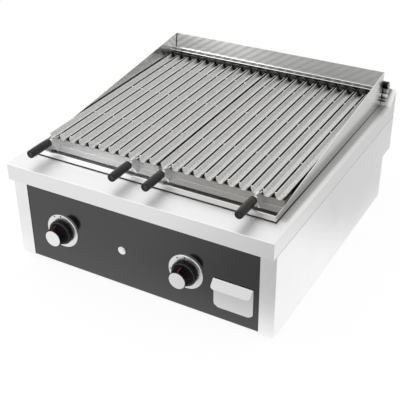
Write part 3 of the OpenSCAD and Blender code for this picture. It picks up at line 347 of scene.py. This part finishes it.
for node_name, node_object in frame["nodes"].items():
    node_object.data.materials.clear()
    node_object.data.materials.append(NODE_FINISH.get(node_name, SLOT_FINISH[node_slot[node_name]]))


# Surfaces

def box_mm(node):
    """Lowest and highest corner of a node, in millimetres."""
    return np.array(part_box(node)) / MM


def ring_faces(rows, columns):
    """Quads between neighbours of a grid of points whose rows close round."""
    row, column = np.meshgrid(np.arange(rows - 1), np.arange(columns), indexing="ij")
    here, beside = row * columns + column, row * columns + (column + 1) % columns
    return np.stack([here, here + columns, beside + columns, beside], axis=-1).reshape(-1, 4)


def tube_faces(rows, columns):
    """The same, with the first and the last row closed by a face each."""
    ends = [list(range(columns)), list(range((rows - 1) * columns, rows * columns))]
    return ring_faces(rows, columns).tolist() + ends


def rounded(corners, steps=4):
    """A closed outline of (x, y, radius) corners, each rounded by a curve tangent to both its sides."""
    t = np.linspace(0, 1, steps + 1)[:, None]
    outline = []
    for i, (x, y, radius) in enumerate(corners):
        here = np.array([x, y], float)
        before = np.array(corners[i - 1][:2], float) - here
        after = np.array(corners[(i + 1) % len(corners)][:2], float) - here
        span_a, span_b = np.linalg.norm(before), np.linalg.norm(after)
        half = 0.5 * math.acos(np.clip(before @ after / span_a / span_b, -1, 1))
        reach = min(radius / math.tan(half), 0.49 * span_a, 0.49 * span_b)
        start, end = here + before / span_a * reach, here + after / span_b * reach
        outline.append(start * (1 - t) ** 2 + 2 * here * t * (1 - t) + end * t ** 2)
    return np.concatenate(outline)


def turned(profile, centre, steps=64, upright=False):
    """A turned shell: radius and place along an axis through centre, carried round it in steps.

    The axis runs along Y, or along Z where it is upright. The profile is a closed run of (radius, along)
    points: it starts and ends on the axis, or at one point.
    """
    profile = np.asarray(profile)
    angle = np.linspace(0, 2 * math.pi, steps, endpoint=False)
    across, aside = profile[:, :1] * np.cos(angle), profile[:, :1] * np.sin(angle)
    along = profile[:, 1:] + 0 * angle
    offset = (across, aside, along) if upright else (across, along, aside)
    return np.stack(offset, axis=-1) + np.asarray(centre), ring_faces(len(profile), steps)


def drawn(outline, along, place):
    """A prism: a closed outline (n, 2) at every station of along, with both ends closed.

    place(first, second, station) gives the points.
    """
    shape = (len(along), len(outline))
    first, second = (np.broadcast_to(outline[:, i], shape) for i in (0, 1))
    stations = np.broadcast_to(np.asarray(along, float)[:, None], shape)
    return place(first, second, stations), tube_faces(*shape)


def beam(outline, start, end):
    """A prism along X from start to end, with an outline of (y, z) points."""
    return drawn(outline, [start, end], lambda y, z, x: np.stack([x, y, z], axis=-1))


def slab(face, back):
    """A closed shell between two skins, which are grids of points of the same size."""
    points = np.concatenate([face, back[:, ::-1]], axis=1)
    return points, tube_faces(*points.shape[:2])


def piece(name, shells, finish, body, smooth=40.0):
    """One piece from closed shells of (points, faces), with its normals outwards and edges smoothed.

    It rides on a body and takes the finish it is given. Edges flatter than smooth degrees
    are shaded round.
    """
    mesh = bpy.data.meshes.new(name)
    points, faces, start = [], [], 0
    for shell_points, shell_faces in shells:
        points.append(np.asarray(shell_points).reshape(-1, 3) * MM)
        faces += [[int(v) + start for v in face] for face in shell_faces]
        start += len(points[-1])
    mesh.from_pydata(np.concatenate(points).tolist(), [], faces)
    work = bmesh.new()
    work.from_mesh(mesh)
    bmesh.ops.remove_doubles(work, verts=work.verts, dist=0.005 * MM)
    bmesh.ops.recalc_face_normals(work, faces=work.faces)
    work.to_mesh(mesh)
    work.free()
    mesh.materials.append(finish)
    mesh.shade_smooth()
    mesh.set_sharp_from_angle(angle=math.radians(smooth))
    thing = bpy.data.objects.new(name, mesh)
    scene.collection.objects.link(thing)
    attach(thing, body)
    return thing


def bevel(thing, radius_mm, segments, least_degrees):
    """Rounds the edges of a piece that turn by more than least_degrees."""
    edge = thing.modifiers.new("round", "BEVEL")
    edge.width = radius_mm * MM
    edge.segments = segments
    edge.limit_method = "ANGLE"
    edge.angle_limit = math.radians(least_degrees)


def round_edges(node_names, radius_mm, segments=2):
    """Folds and cut edges of CAD sheets, rounded: loose triangles are welded, then bevelled."""
    for node_name in node_names:
        node = frame["nodes"][node_name]
        weld = node.modifiers.new("weld", "WELD")
        weld.merge_threshold = 0.002 * MM
        bevel(node, radius_mm, segments, 35)


# Grates: places along a bar are measured from its grate's pivot

bar_count = 11
bar_top_half_mm = 10.5
bar_base_half_mm = 5.25
bar_low_mm = 4.0
bar_high_mm = 14.0
bar_wall_mm = 1.8
bar_front_mm = -495.0
bar_back_mm = 12.0
bar_corner_mm = 5.5
bar_cut_mm = 8.0
bar_lean = (bar_top_half_mm - bar_base_half_mm) / (bar_high_mm - bar_low_mm)
channel_end_mm = bar_back_mm - 6.0
# The bowl that closes a bar's rear end
bowl_depth_mm = 8.5
bowl_wall_mm = 1.2
bowl_rise_mm = 4.0
# The weld beads between neighbours
weld_rows_mm = (-484.0, -362.0, -212.0, -70.0)
bead_half_mm = (2.3, 1.7, 1.3)
bead_sunk_mm = 1.6
slope = math.radians(0.5)
joint_place = {joint["name"]: joint.get("pos_m") for joint in frame["record"]["behaviour"]["joints"]}


def on_grate(side, x, y, z):
    """Points given from a grate's pivot and its middle, laid at the grate's slope in the row's frame."""
    pivot = np.array(joint_place["grate_" + side + "_tilt"]) / MM
    return np.stack([pivot[0] + x,
                     pivot[1] + y * math.cos(slope) - z * math.sin(slope),
                     pivot[2] + y * math.sin(slope) + z * math.cos(slope)], axis=-1)


def bar_section():
    """Outline of a bar: a flat-bottomed V of even wall, its two top edges rolled round."""
    wall_x = bar_wall_mm * math.hypot(1, bar_lean)
    inner_base = bar_base_half_mm + bar_lean * bar_wall_mm - wall_x
    right = [(bar_base_half_mm, bar_low_mm, 4.5), (bar_top_half_mm, bar_high_mm, 0.8),
             (bar_top_half_mm - wall_x, bar_high_mm, 0.8), (inner_base, bar_low_mm + bar_wall_mm, 3.0)]
    left = [(-x, z, r) for x, z, r in reversed(right)]
    return rounded(right + left)


def bar(side, centre):
    """One bar: its section carried along Y. At the front end its two top corners are cut round, where
    the end draws back by corner - sqrt(corner^2 - over^2) over the last corner of the half width.
    """
    def place(x, z, station):
        over = np.clip(np.abs(x) - (bar_top_half_mm - bar_corner_mm), 0, bar_corner_mm - 0.2)
        back = bar_corner_mm - np.sqrt(bar_corner_mm ** 2 - over ** 2)
        return on_grate(side, centre + x, station + back * (station == bar_front_mm), z)

    return drawn(bar_section(), [bar_front_mm, bar_front_mm + bar_cut_mm, 0, channel_end_mm], place)


def bar_bowl(side, centre):
    """The closed end of a bar: a bowl open to the front, kept inside the V below the bar's top.

    For a share v of the radius the bowl stands back from its rim by depth * sqrt(1 - v^2), and its
    rim is rolled round by half the wall. Above the bar's top it is flattened to its rise.
    """
    angle = np.linspace(0, 2 * math.pi, 32, endpoint=False)
    roll = np.linspace(0, math.pi, 5)[1:-1]
    share = np.sin(np.linspace(0, math.pi / 2, 9))
    half_wall = bowl_wall_mm / 2
    outer = (bar_top_half_mm * share, bowl_depth_mm * np.sqrt(1 - share ** 2))
    rim = (bar_top_half_mm - half_wall + half_wall * np.cos(roll), -half_wall * np.sin(roll))
    inner = ((bar_top_half_mm - bowl_wall_mm) * share[::-1],
             (bowl_depth_mm - bowl_wall_mm) * np.sqrt(1 - share[::-1] ** 2))
    r, y = (np.concatenate(runs)[:, None] for runs in zip(outer, rim, inner))
    x = r * np.cos(angle)
    z = bar_high_mm + r * np.sin(angle) * np.where(np.sin(angle) > 0, bowl_rise_mm / bar_top_half_mm, 1.0)
    room = np.where(z < bar_high_mm, bar_top_half_mm - (bar_high_mm - z) * bar_lean - 0.4, bar_top_half_mm)
    room = np.maximum(room, bar_base_half_mm)
    z = np.maximum(z, bar_low_mm + 0.5)
    back = bar_back_mm - bowl_depth_mm + y + 0 * angle
    return on_grate(side, centre + np.clip(x, -room, room), back, z), ring_faces(len(r), len(angle))


def weld_bead(side, centre, y):
    """A weld between two bars: a flattened ball, wide enough to bite into both top edges."""
    turn = np.linspace(0, 2 * math.pi, 10, endpoint=False)
    rise = np.linspace(-math.pi / 2, math.pi / 2, 7)[:, None]
    half_x, half_y, half_z = bead_half_mm
    return (on_grate(side, centre + half_x * np.cos(rise) * np.cos(turn),
                     y + half_y * np.cos(rise) * np.sin(turn),
                     bar_high_mm - bead_sunk_mm + half_z * np.sin(rise) + 0 * turn),
            ring_faces(len(rise), len(turn)))


for side in SIDES:
    centres = (np.arange(bar_count) - (bar_count - 1) / 2) * bar_pitch_mm
    shells = [bar(side, c) for c in centres] + [bar_bowl(side, c) for c in centres]
    bars = piece("dressed_bars_" + side, shells, bar_steel, "grate_" + side, smooth=35)
    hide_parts("grate_bars_" + side)
    beads = [weld_bead(side, c + bar_pitch_mm / 2, y) for c in centres[:-1] for y in weld_rows_mm]
    piece("bar_welds_" + side, beads, rod_steel, "grate_" + side)


# Grips

def grip(node, body):
    """Two grips: turned, a chamfer at each end, a swell to the middle and a shallow groove near the rear.

    The swell follows half a sine, and the groove is a bell curve.
    """
    swell, groove, groove_half, groove_to_end, clearance = 0.35, 0.9, 1.1, 8.0, 0.1
    low, high = box_mm(node)
    radius = (high[2] - low[2]) / 2 - clearance
    length = high[1] - low[1]
    along = np.linspace(2.2, length - 3.2, 24)
    middle = radius + swell * np.sin(np.linspace(0, math.pi, 24)) - swell
    middle -= groove * np.exp(-((along - (length - groove_to_end)) / groove_half) ** 2)
    profile = [(0, 0.5), (2.6, 0.5), (3.2, 0.0), (radius - 2.0, 0.0), (radius - 0.9, 0.5)]
    profile += list(zip(middle, along))
    profile += [(radius - 1.6, length - 1.0), (radius - 3.0, length), (0, length)]
    shells = [turned(profile, (x, low[1], (low[2] + high[2]) / 2), 40)
              for x in (low[0] + radius, high[0] - radius)]
    thing = piece("dressed_" + node, shells, grip_plastic, body)
    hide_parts(node)


for side in SIDES:
    grip("grips_" + side, "grate_" + side)


# Knobs and scale plates: angles are counted from the right, and a dot is (degrees, radius in mm)

cone_root_mm = 22.6
cone_front_mm = 18.2
cone_length_mm = 19.5
cone_waist_mm = 0.5
knob_ring_mm = 25.0
index_start_mm = 0.3
index_end_mm = 15.5
index_half_mm = 0.65
index_degrees = {"left": 99, "right": 90}
dot_ring_mm = {"left": 35.2, "right": 33.2}
dot_places = {"left": ((91, 2.0), (118.5, 1.7)), "right": ((92, 2.0), (121.5, 1.7), (183, 1.6))}


def disc_mm(node):
    """Middle of the front face, radius and depth of a round node that faces the front."""
    low, high = box_mm(node)
    middle = np.array([(low[0] + high[0]) / 2, low[1], (low[2] + high[2]) / 2])
    return middle, (high[0] - low[0]) / 2, high[1] - low[1]


def cone_radius(along):
    """Radius of a knob's cone at a distance from its front face: straight, drawn in by a slight waist."""
    share = along / cone_length_mm
    return cone_front_mm + (cone_root_mm - cone_front_mm) * share - cone_waist_mm * np.sin(np.pi * share)


def knob(side):
    """A knob turned in one: skirt with a rolled edge, a step ring, and a waisted cone up to its face."""
    hollow, hollow_depth, hub = 22, 3, 8
    front, radius, depth = disc_mm("knob_" + side)
    skirt = radius - 0.6
    root = cone_length_mm
    along = np.linspace(0.7, root, 14)
    profile = [(0, 0), (cone_front_mm - 0.7, 0), (cone_front_mm - 0.2, 0.2)]
    profile += list(zip(cone_radius(along), along))
    profile += [(cone_root_mm + 0.5, root + 0.35), (24.4, root + 0.5), (knob_ring_mm, root + 0.9),
                (25.3, root + 1.8), (25.5, root + 2.6), (25.9, root + 3.0), (skirt - 1.2, root + 3.3),
                (skirt - 0.4, root + 3.8), (skirt, root + 4.8), (skirt, depth - 0.6), (skirt - 0.6, depth),
                (hollow, depth), (hollow, depth - hollow_depth), (hub, depth - hollow_depth), (hub, depth),
                (0, depth)]
    thing = piece("dressed_knob_" + side, [turned(profile, front, 72)], knob_plastic, "knob_" + side,
                  smooth=32)
    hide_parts("knob_" + side)

    # The grey ring is a painted highlight along the edge of the step ring
    turn = np.linspace(0, 2 * math.pi, 9)
    line = np.stack([knob_ring_mm + 0.45 * np.cos(turn), root + 1.0 + 0.45 * np.sin(turn)], axis=-1)
    piece("knob_ring_" + side, [turned(line, front, 72)], highlight_painted_plastic, "knob_" + side)


def index_line(side):
    """The painted line down a knob's cone, a little proud of it and drawn in at its far end."""
    proud, sunk = 0.22, 0.4
    front = disc_mm("knob_" + side)[0]
    run = np.linspace(index_start_mm, index_end_mm, 12)[:, None]
    skin = cone_radius(run)
    half = np.minimum(index_half_mm, (index_end_mm + 0.4 - run) * 0.6 + 0.2)
    turn = math.radians(index_degrees[side]) + np.linspace(-1, 1, 5) * half / skin
    top, under = (front + np.stack([(skin + lift) * np.cos(turn), run + 0 * turn,
                                    (skin + lift) * np.sin(turn)], axis=-1) for lift in (proud, -sunk))
    piece("index_line_" + side, [slab(top, under)], index_paint, "knob_" + side)


def scale_plate(side):
    """A scale plate: a flat turned disc with a rolled edge, and its printed dots."""
    bore, proud, sunk = 7, 0.12, 0.3
    front, radius, depth = disc_mm("dial_plate_" + side)
    profile = [(bore, 0.0), (radius - 1.5, 0.0), (radius - 1.3, 0.0), (radius - 0.5, 0.35), (radius, 1.3),
               (radius, depth), (bore, depth), (bore, 0.0)]
    plate = piece("dressed_dial_plate_" + side, [turned(profile, front, 96)], plate_metal, "body")
    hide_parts("dial_plate_" + side)
    dots = []
    for degrees, size in dot_places[side]:
        turn = math.radians(degrees)
        spot = front + dot_ring_mm[side] * np.array([math.cos(turn), 0, math.sin(turn)])
        dots.append(turned([(0, -proud), (size, -proud), (size, sunk), (0, sunk)], spot, 20))
    piece("scale_dots_" + side, dots, dot_ink, "body")


for side in SIDES:
    knob(side)
    index_line(side)
    scale_plate(side)


# Grease drawer

def drawer_front():
    """The drawer's front, bent from one sheet: path (y, z) up the plate, round the fold and down the lip.
    The path is the sheet's face, which is the underside of the lip.

    The half width follows the path: at both ends it draws in as w - r + sqrt(r^2 - d^2), with d the
    distance into the corner. The sheet's back is its face set in by its thickness along the normal, and
    the lip hangs at 44 degrees to the plate.
    """
    fold, plate_corner, lip_corner = 0.5, 10.0, 8.0
    lip_turn, lip_length = math.radians(180 - 44), 21.5
    low, high = box_mm("drawer_front")
    face = drawer_face / MM
    top = high[2] - drawer_sheet_mm - fold
    plate = np.stack([np.full(14, face), np.linspace(low[2], top, 14)], axis=-1)
    bend = np.linspace(0, lip_turn, 8)[1:]
    arc = np.array([face - fold, top]) + fold * np.stack([np.cos(bend), np.sin(bend)], axis=-1)
    ahead = np.array([-math.sin(lip_turn), math.cos(lip_turn)])
    length = min(lip_length, (arc[-1][0] - low[1]) / -ahead[0])
    lip = arc[-1] + np.linspace(0, length, 14)[1:, None] * ahead
    path = np.concatenate([plate, arc, lip])

    step = np.linalg.norm(np.diff(path, axis=0), axis=1)
    travel = np.concatenate([[0], np.cumsum(step)])
    half = (high[0] - low[0]) / 2 + 0 * travel
    for distance, radius in ((travel, plate_corner), (travel[-1] - travel, lip_corner)):
        into = np.clip(radius - distance, 0, radius)
        half = half - radius + np.sqrt(radius ** 2 - into ** 2)
    tangent = np.gradient(path, axis=0)
    tangent /= np.linalg.norm(tangent, axis=1, keepdims=True)
    inward = np.stack([tangent[:, 1], -tangent[:, 0]], axis=-1)
    x = (low[0] + high[0]) / 2 + half[:, None] * np.linspace(-1, 1, 13)
    front, back = (np.stack([x, run[:, :1] + 0 * x, run[:, 1:] + 0 * x], axis=-1)
                   for run in (path, path + inward * drawer_sheet_mm))
    thing = piece("dressed_drawer_front", [slab(front, back)], drawer_steel, "drawer",
                  smooth=30)
    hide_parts("drawer_front")
    bevel(thing, 0.3, 2, 50)


drawer_front()


# Flue hood

def flue_hood():
    """The hood: a rounded box on the sloping deck, with three louvres that swell from its front.

    A louvre is half a tube whose radius falls as sqrt(r^2 - d^2) over the last r of each end, so its ends
    are quarter balls. Under each, a dark strip of painted shade stands in for its slot.
    """
    louvres, swell, run, stretch = 3, 5.5, 8.0, 1.12
    box_in, box_up, box_to_end = 4.4, 2.2, 4.5
    slot_below, slot_above, slot_depth, slot_to_end = 0.5, 1.3, 4, 7
    low, high = box_mm("flue_hood")
    half = high[0]
    front, back = low[1] + box_in, high[1]
    foot, top = low[2] + box_up, high[2]
    outline = rounded([(front + 0.6, foot + 1.0, 0.3), (front + run, top, 3.0), (back, top, 2.0),
                       (back, foot + 6.0, 0.3)])
    shells = [beam(outline, -half + box_to_end, half - box_to_end)]
    lean = math.atan2(run, top - foot)
    pitch = math.hypot(run, top - foot) / louvres
    ends = half - swell * (1 - np.cos(np.linspace(0, math.pi / 2, 8)))
    x = np.concatenate([-ends, np.linspace(-half + 40, half - 40, 9), ends[::-1]])[:, None]
    inset = np.clip(np.abs(x) - (half - swell), 0, swell)
    radius = np.sqrt(np.maximum(swell ** 2 - inset ** 2, 0.01))
    bend = np.linspace(-math.pi / 2, math.pi / 2, 15)
    out, rise = radius * np.cos(bend), radius * np.sin(bend) * stretch
    slot_shades = []
    for tier in range(louvres):
        up = pitch * (tier + 0.5)
        y = front + 1.2 + up * math.sin(lean) - out * math.cos(lean) + rise * math.sin(lean)
        z = foot + up * math.cos(lean) + out * math.sin(lean) + rise * math.cos(lean)
        shells.append((np.stack([x + 0 * y, y, z], axis=-1), tube_faces(len(x), len(bend))))
        slot_y = front - 0.6 + pitch * tier * math.sin(lean)
        slot_z = foot + pitch * tier * math.cos(lean)
        low_z, high_z, rear_y = slot_z - slot_below, slot_z + slot_above, slot_y + slot_depth
        strip = rounded([(slot_y, low_z, 0.3), (slot_y, high_z, 0.3), (rear_y, high_z, 0.3),
                         (rear_y, low_z, 0.3)], 2)
        slot_shades.append(beam(strip, -half + slot_to_end, half - slot_to_end))
    hood = piece("dressed_flue_hood", shells, flue_steel, "body")
    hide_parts("flue_hood")
    piece("flue_slot_shades", slot_shades, soot_and_shade_steel, "body")


flue_hood()


# Dark lines of painted shade between the sheets, and folds

def foot_seam():
    """A dark line of painted shade along the foot of the rim and of the wings, where it tapers towards the
    back.
    """
    back_y, taper = 305.0, 0.35
    rim_x, rim_y = guard_side / MM, box_mm("splash_guard")[0][1]
    line_section = rounded([(0, 0.02, 0.2), (1.6, 0.02, 0.5), (0.7, 2.0, 0.3), (0, 2.0, 0.2)], 3)
    path = np.array([[-rim_x, back_y], [-rim_x, rim_y], [rim_x, rim_y], [rim_x, back_y]])
    mitre = np.array([[-1, 0], [-1, -1], [1, -1], [1, 0]], float)
    size = np.array([taper, 1.0, 1.0, taper])[:, None, None]
    plan = path[:, None, :] + line_section[None, :, :1] * mitre[:, None, :] * size
    points = np.concatenate([plan, deck / MM + line_section[None, :, 1:] * size], axis=-1)
    piece("foot_seam", [(points, tube_faces(len(path), len(line_section)))], rubber, "body")


def skirt_seams():
    """A dark line of painted shade between the worktop's skirt and each side panel, in the worktop's rounded
    edge.
    """
    depth, set_in, below, above = 1.0, 0.03, 0.3, 0.45
    skirt = box_mm("worktop")[0][2]
    panel_low, panel_high = box_mm("side_panel_right")
    lines = []
    for s in (-1, 1):
        inner, outer = s * (panel_high[0] - depth), s * (panel_high[0] - set_in)
        strip = rounded([(inner, skirt - below, 0.05), (inner, skirt + above, 0.05),
                         (outer, skirt + above, 0.1), (outer, skirt - below, 0.1)], 2)
        lines.append(drawn(strip, [panel_low[1] + 1.0, panel_high[1] - 3.0],
                           lambda x, z, y: np.stack([x, y, z], axis=-1)))
    piece("skirt_seams", lines, rubber, "body")


def guard_seams():
    """Dark lines of painted shade in the guard's two rear corners, and two bright folds along its ledge's
    front.
    """
    back_in, lean, rise = 13.5, 12.0, 77.0
    shade_width, ledge_depth, fold_radius, fold_heights = 1.5, 3.6, 1.7, (41.3, 33.6)
    high = box_mm("splash_guard")[1]
    inner_x = high[0] - guard_sheet_mm
    foot_y = high[1] - back_in
    corner_shades = []
    for s in (-1, 1):
        wing, edge = s * inner_x, s * (inner_x - shade_width)
        strip = rounded([(wing, 0.6, 0.1), (edge, 0.6, 0.3), (edge, -0.35, 0.3), (wing, -0.6, 0.1)], 2)
        corner_shades.append(drawn(strip, [2.0, rise - 0.6], lambda x, y, up: np.stack(
            [x, y + foot_y + lean * up / rise, deck / MM + up], axis=-1)))
    piece("corner_shade_lines", corner_shades, rubber, "guard")

    turn = np.linspace(0, 2 * math.pi, 12, endpoint=False)
    ledge_y = foot_y - ledge_depth
    folds = []
    for up in fold_heights:
        ring = np.stack([ledge_y + lean * up / rise + fold_radius * np.cos(turn),
                         deck / MM + up + fold_radius * np.sin(turn)], axis=-1)
        folds.append(beam(ring, -inner_x + 1.0, inner_x - 1.0))
    piece("ledge_folds", folds, bright, "guard")


foot_seam()
skirt_seams()
guard_seams()


# Feet

def feet():
    """Four turned rubber feet with a rounded tread, a waist and a recess for the bolt's head."""
    radius, bolt = 19.0, 5.2
    low, high = box_mm("feet")
    depth = high[2] - low[2]
    profile = [(bolt, depth), (radius - 1.5, depth), (radius - 0.4, depth - 0.6), (radius - 1.2, depth / 2),
               (radius, 2.6), (radius - 0.5, 0.9), (radius - 1.8, 0.0), (radius - 6, 0.0),
               (radius - 6.6, 0.5), (radius - 10, 0.5), (radius - 10.6, 0.0), (bolt, 0.0), (bolt, depth)]
    shells = [turned(profile, (x, y, low[2]), 48, upright=True)
              for x in (low[0] + radius, high[0] - radius) for y in (low[1] + radius, high[1] - radius)]
    thing = piece("dressed_feet", shells, rubber, "body")
    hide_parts("feet")


feet()


# Edges of the CAD's own sheets, tubes and turned parts

round_edges(["worktop"], 0.7, 3)
round_edges(["side_panel_left", "side_panel_right"], 0.9, 3)
round_edges(["front_rim", "splash_guard", "gutter", "drawer_tray", "rear_cover", "upper_back"], 0.4)
round_edges(["latches_left", "latches_right", "rest_bar", "pivot_brackets", "screws", "lighter_barrel",
             "lighter_button", "knob_cap_left", "knob_cap_right", "gas_inlet"], 0.5)


# Studio

def world_light():
    """White for what the camera and glass see, a plain level for the light itself, and in mirrors a soft
    fall from the left of the studio to its right.
    """
    world = bpy.data.worlds.new("studio")
    scene.world = world
    world.use_nodes = True
    tree = world.node_tree
    tree.nodes.clear()
    path = add(tree, "LightPath").outputs
    seen = calc(tree, "MAXIMUM", path["Is Camera Ray"], path["Is Transmission Ray"])
    way = add(tree, "SeparateXYZ", Vector=add(tree, "TexCoord").outputs["Generated"]).outputs
    wall = mapped(tree, way["X"], -0.3, 0.8, low=0.98, high=0.74, smooth=True)
    mirror = add(tree, "Mix", {"data_type": "FLOAT"}, Factor=path["Is Glossy Ray"], A=0.85, B=wall)
    level = add(tree, "Mix", {"data_type": "FLOAT"}, Factor=seen, A=mirror.outputs["Result"], B=1.0)
    background = add(tree, "Background", Color=hex_rgb("FFFFFF"), Strength=level.outputs["Result"])
    add(tree, "OutputWorld", Surface=background.outputs["Background"])


def floor():
    """The pale table: white to the camera, softly graded in mirrors, and it keeps the grill's shadow.

    In mirrors it darkens in front of the grill from left to right, and beside the rear of its right side.
    """
    half = 6.0
    mesh = bpy.data.meshes.new("studio_floor")
    mesh.from_pydata([(-half, -half, 0), (half, -half, 0), (half, half, 0), (-half, half, 0)], [],
                     [(0, 1, 2, 3)])
    table = bpy.data.objects.new("studio_floor", mesh)
    scene.collection.objects.link(table)
    finish, tree = new_finish("white studio floor")
    path = add(tree, "LightPath").outputs
    place = places(tree)
    in_front = mapped(tree, place["Y"], -0.3, -0.45, smooth=True)
    to_right = mapped(tree, place["X"], -0.15, 0.22, smooth=True)
    at_side = calc(tree, "MULTIPLY", mapped(tree, place["Y"], -0.02, 0.22, smooth=True),
                   mapped(tree, place["X"], 0.26, 0.36, smooth=True))
    front_tone = mixed_colour(tree, to_right, "EEEEEE", "B4B4B4")
    mirrored = mixed_colour(tree, in_front, "FFFFFF", front_tone)
    mirrored = mixed_colour(tree, at_side, mirrored, "D6D6D6")
    tone = mixed_colour(tree, path["Is Glossy Ray"], "FFFFFF", mirrored)
    seen = calc(tree, "MAXIMUM", path["Is Camera Ray"], path["Is Glossy Ray"])
    share = calc(tree, "MULTIPLY", seen, 0.9)
    matt = add(tree, "BsdfDiffuse", Color=hex_rgb("F4F4F4")).outputs["BSDF"]
    glow = add(tree, "Emission", Color=tone, Strength=1.02).outputs["Emission"]
    mixed = add(tree, "MixShader", i0=share, i1=matt, i2=glow).outputs["Shader"]
    add(tree, "OutputMaterial", Surface=mixed)
    mesh.materials.append(finish)


def lamp(name, place, target, size, power):
    """A square soft lamp at a place, facing a target."""
    light = bpy.data.lights.new(name, "AREA")
    light.shape = "SQUARE"
    light.size = size
    light.energy = power
    body = bpy.data.objects.new(name, light)
    body.location = place
    body.rotation_euler = (Vector(target) - Vector(place)).to_track_quat("-Z", "Y").to_euler()
    scene.collection.objects.link(body)


# Camera: its place, turn and lens were fitted to the grill's corners in the photograph, in its pixels

photo_px = 400
focal_px = 832.42
centre_px = (197.53, 187.32)
sensor_mm = 36.0
camera_place = (0.77527, -1.41428, 1.05765)
yaw, pitch, roll = (math.radians(degrees) for degrees in (29.853, 30.783, -0.647))


def camera():
    """The photograph's view."""
    ahead = Vector((-math.sin(yaw) * math.cos(pitch), math.cos(yaw) * math.cos(pitch), -math.sin(pitch)))
    right = Vector((math.cos(yaw), math.sin(yaw), 0.0))
    up = right.cross(ahead)
    right, up = (right * math.cos(roll) + up * math.sin(roll), up * math.cos(roll) - right * math.sin(roll))
    data = bpy.data.cameras.new("photo_camera")
    data.sensor_width = sensor_mm
    data.lens = focal_px / photo_px * sensor_mm
    data.shift_x = (photo_px / 2 - centre_px[0]) / photo_px
    data.shift_y = (centre_px[1] - photo_px / 2) / photo_px
    data.clip_end = 30.0
    body = bpy.data.objects.new("photo_camera", data)
    turn = Matrix((right, up, -ahead)).transposed().to_4x4()
    body.matrix_world = Matrix.Translation(camera_place) @ turn
    scene.collection.objects.link(body)
    scene.camera = body


world_light()
floor()
lamp("key", (-1.3, -0.6, 2.2), (0, 0, 0.15), 2.4, 15)
lamp("fill", (1.8, -1.6, 1.6), (0, 0, 0.15), 1.8, 4)
camera()
scene.view_settings.view_transform = "Standard"

bpy.context.view_layer.update()
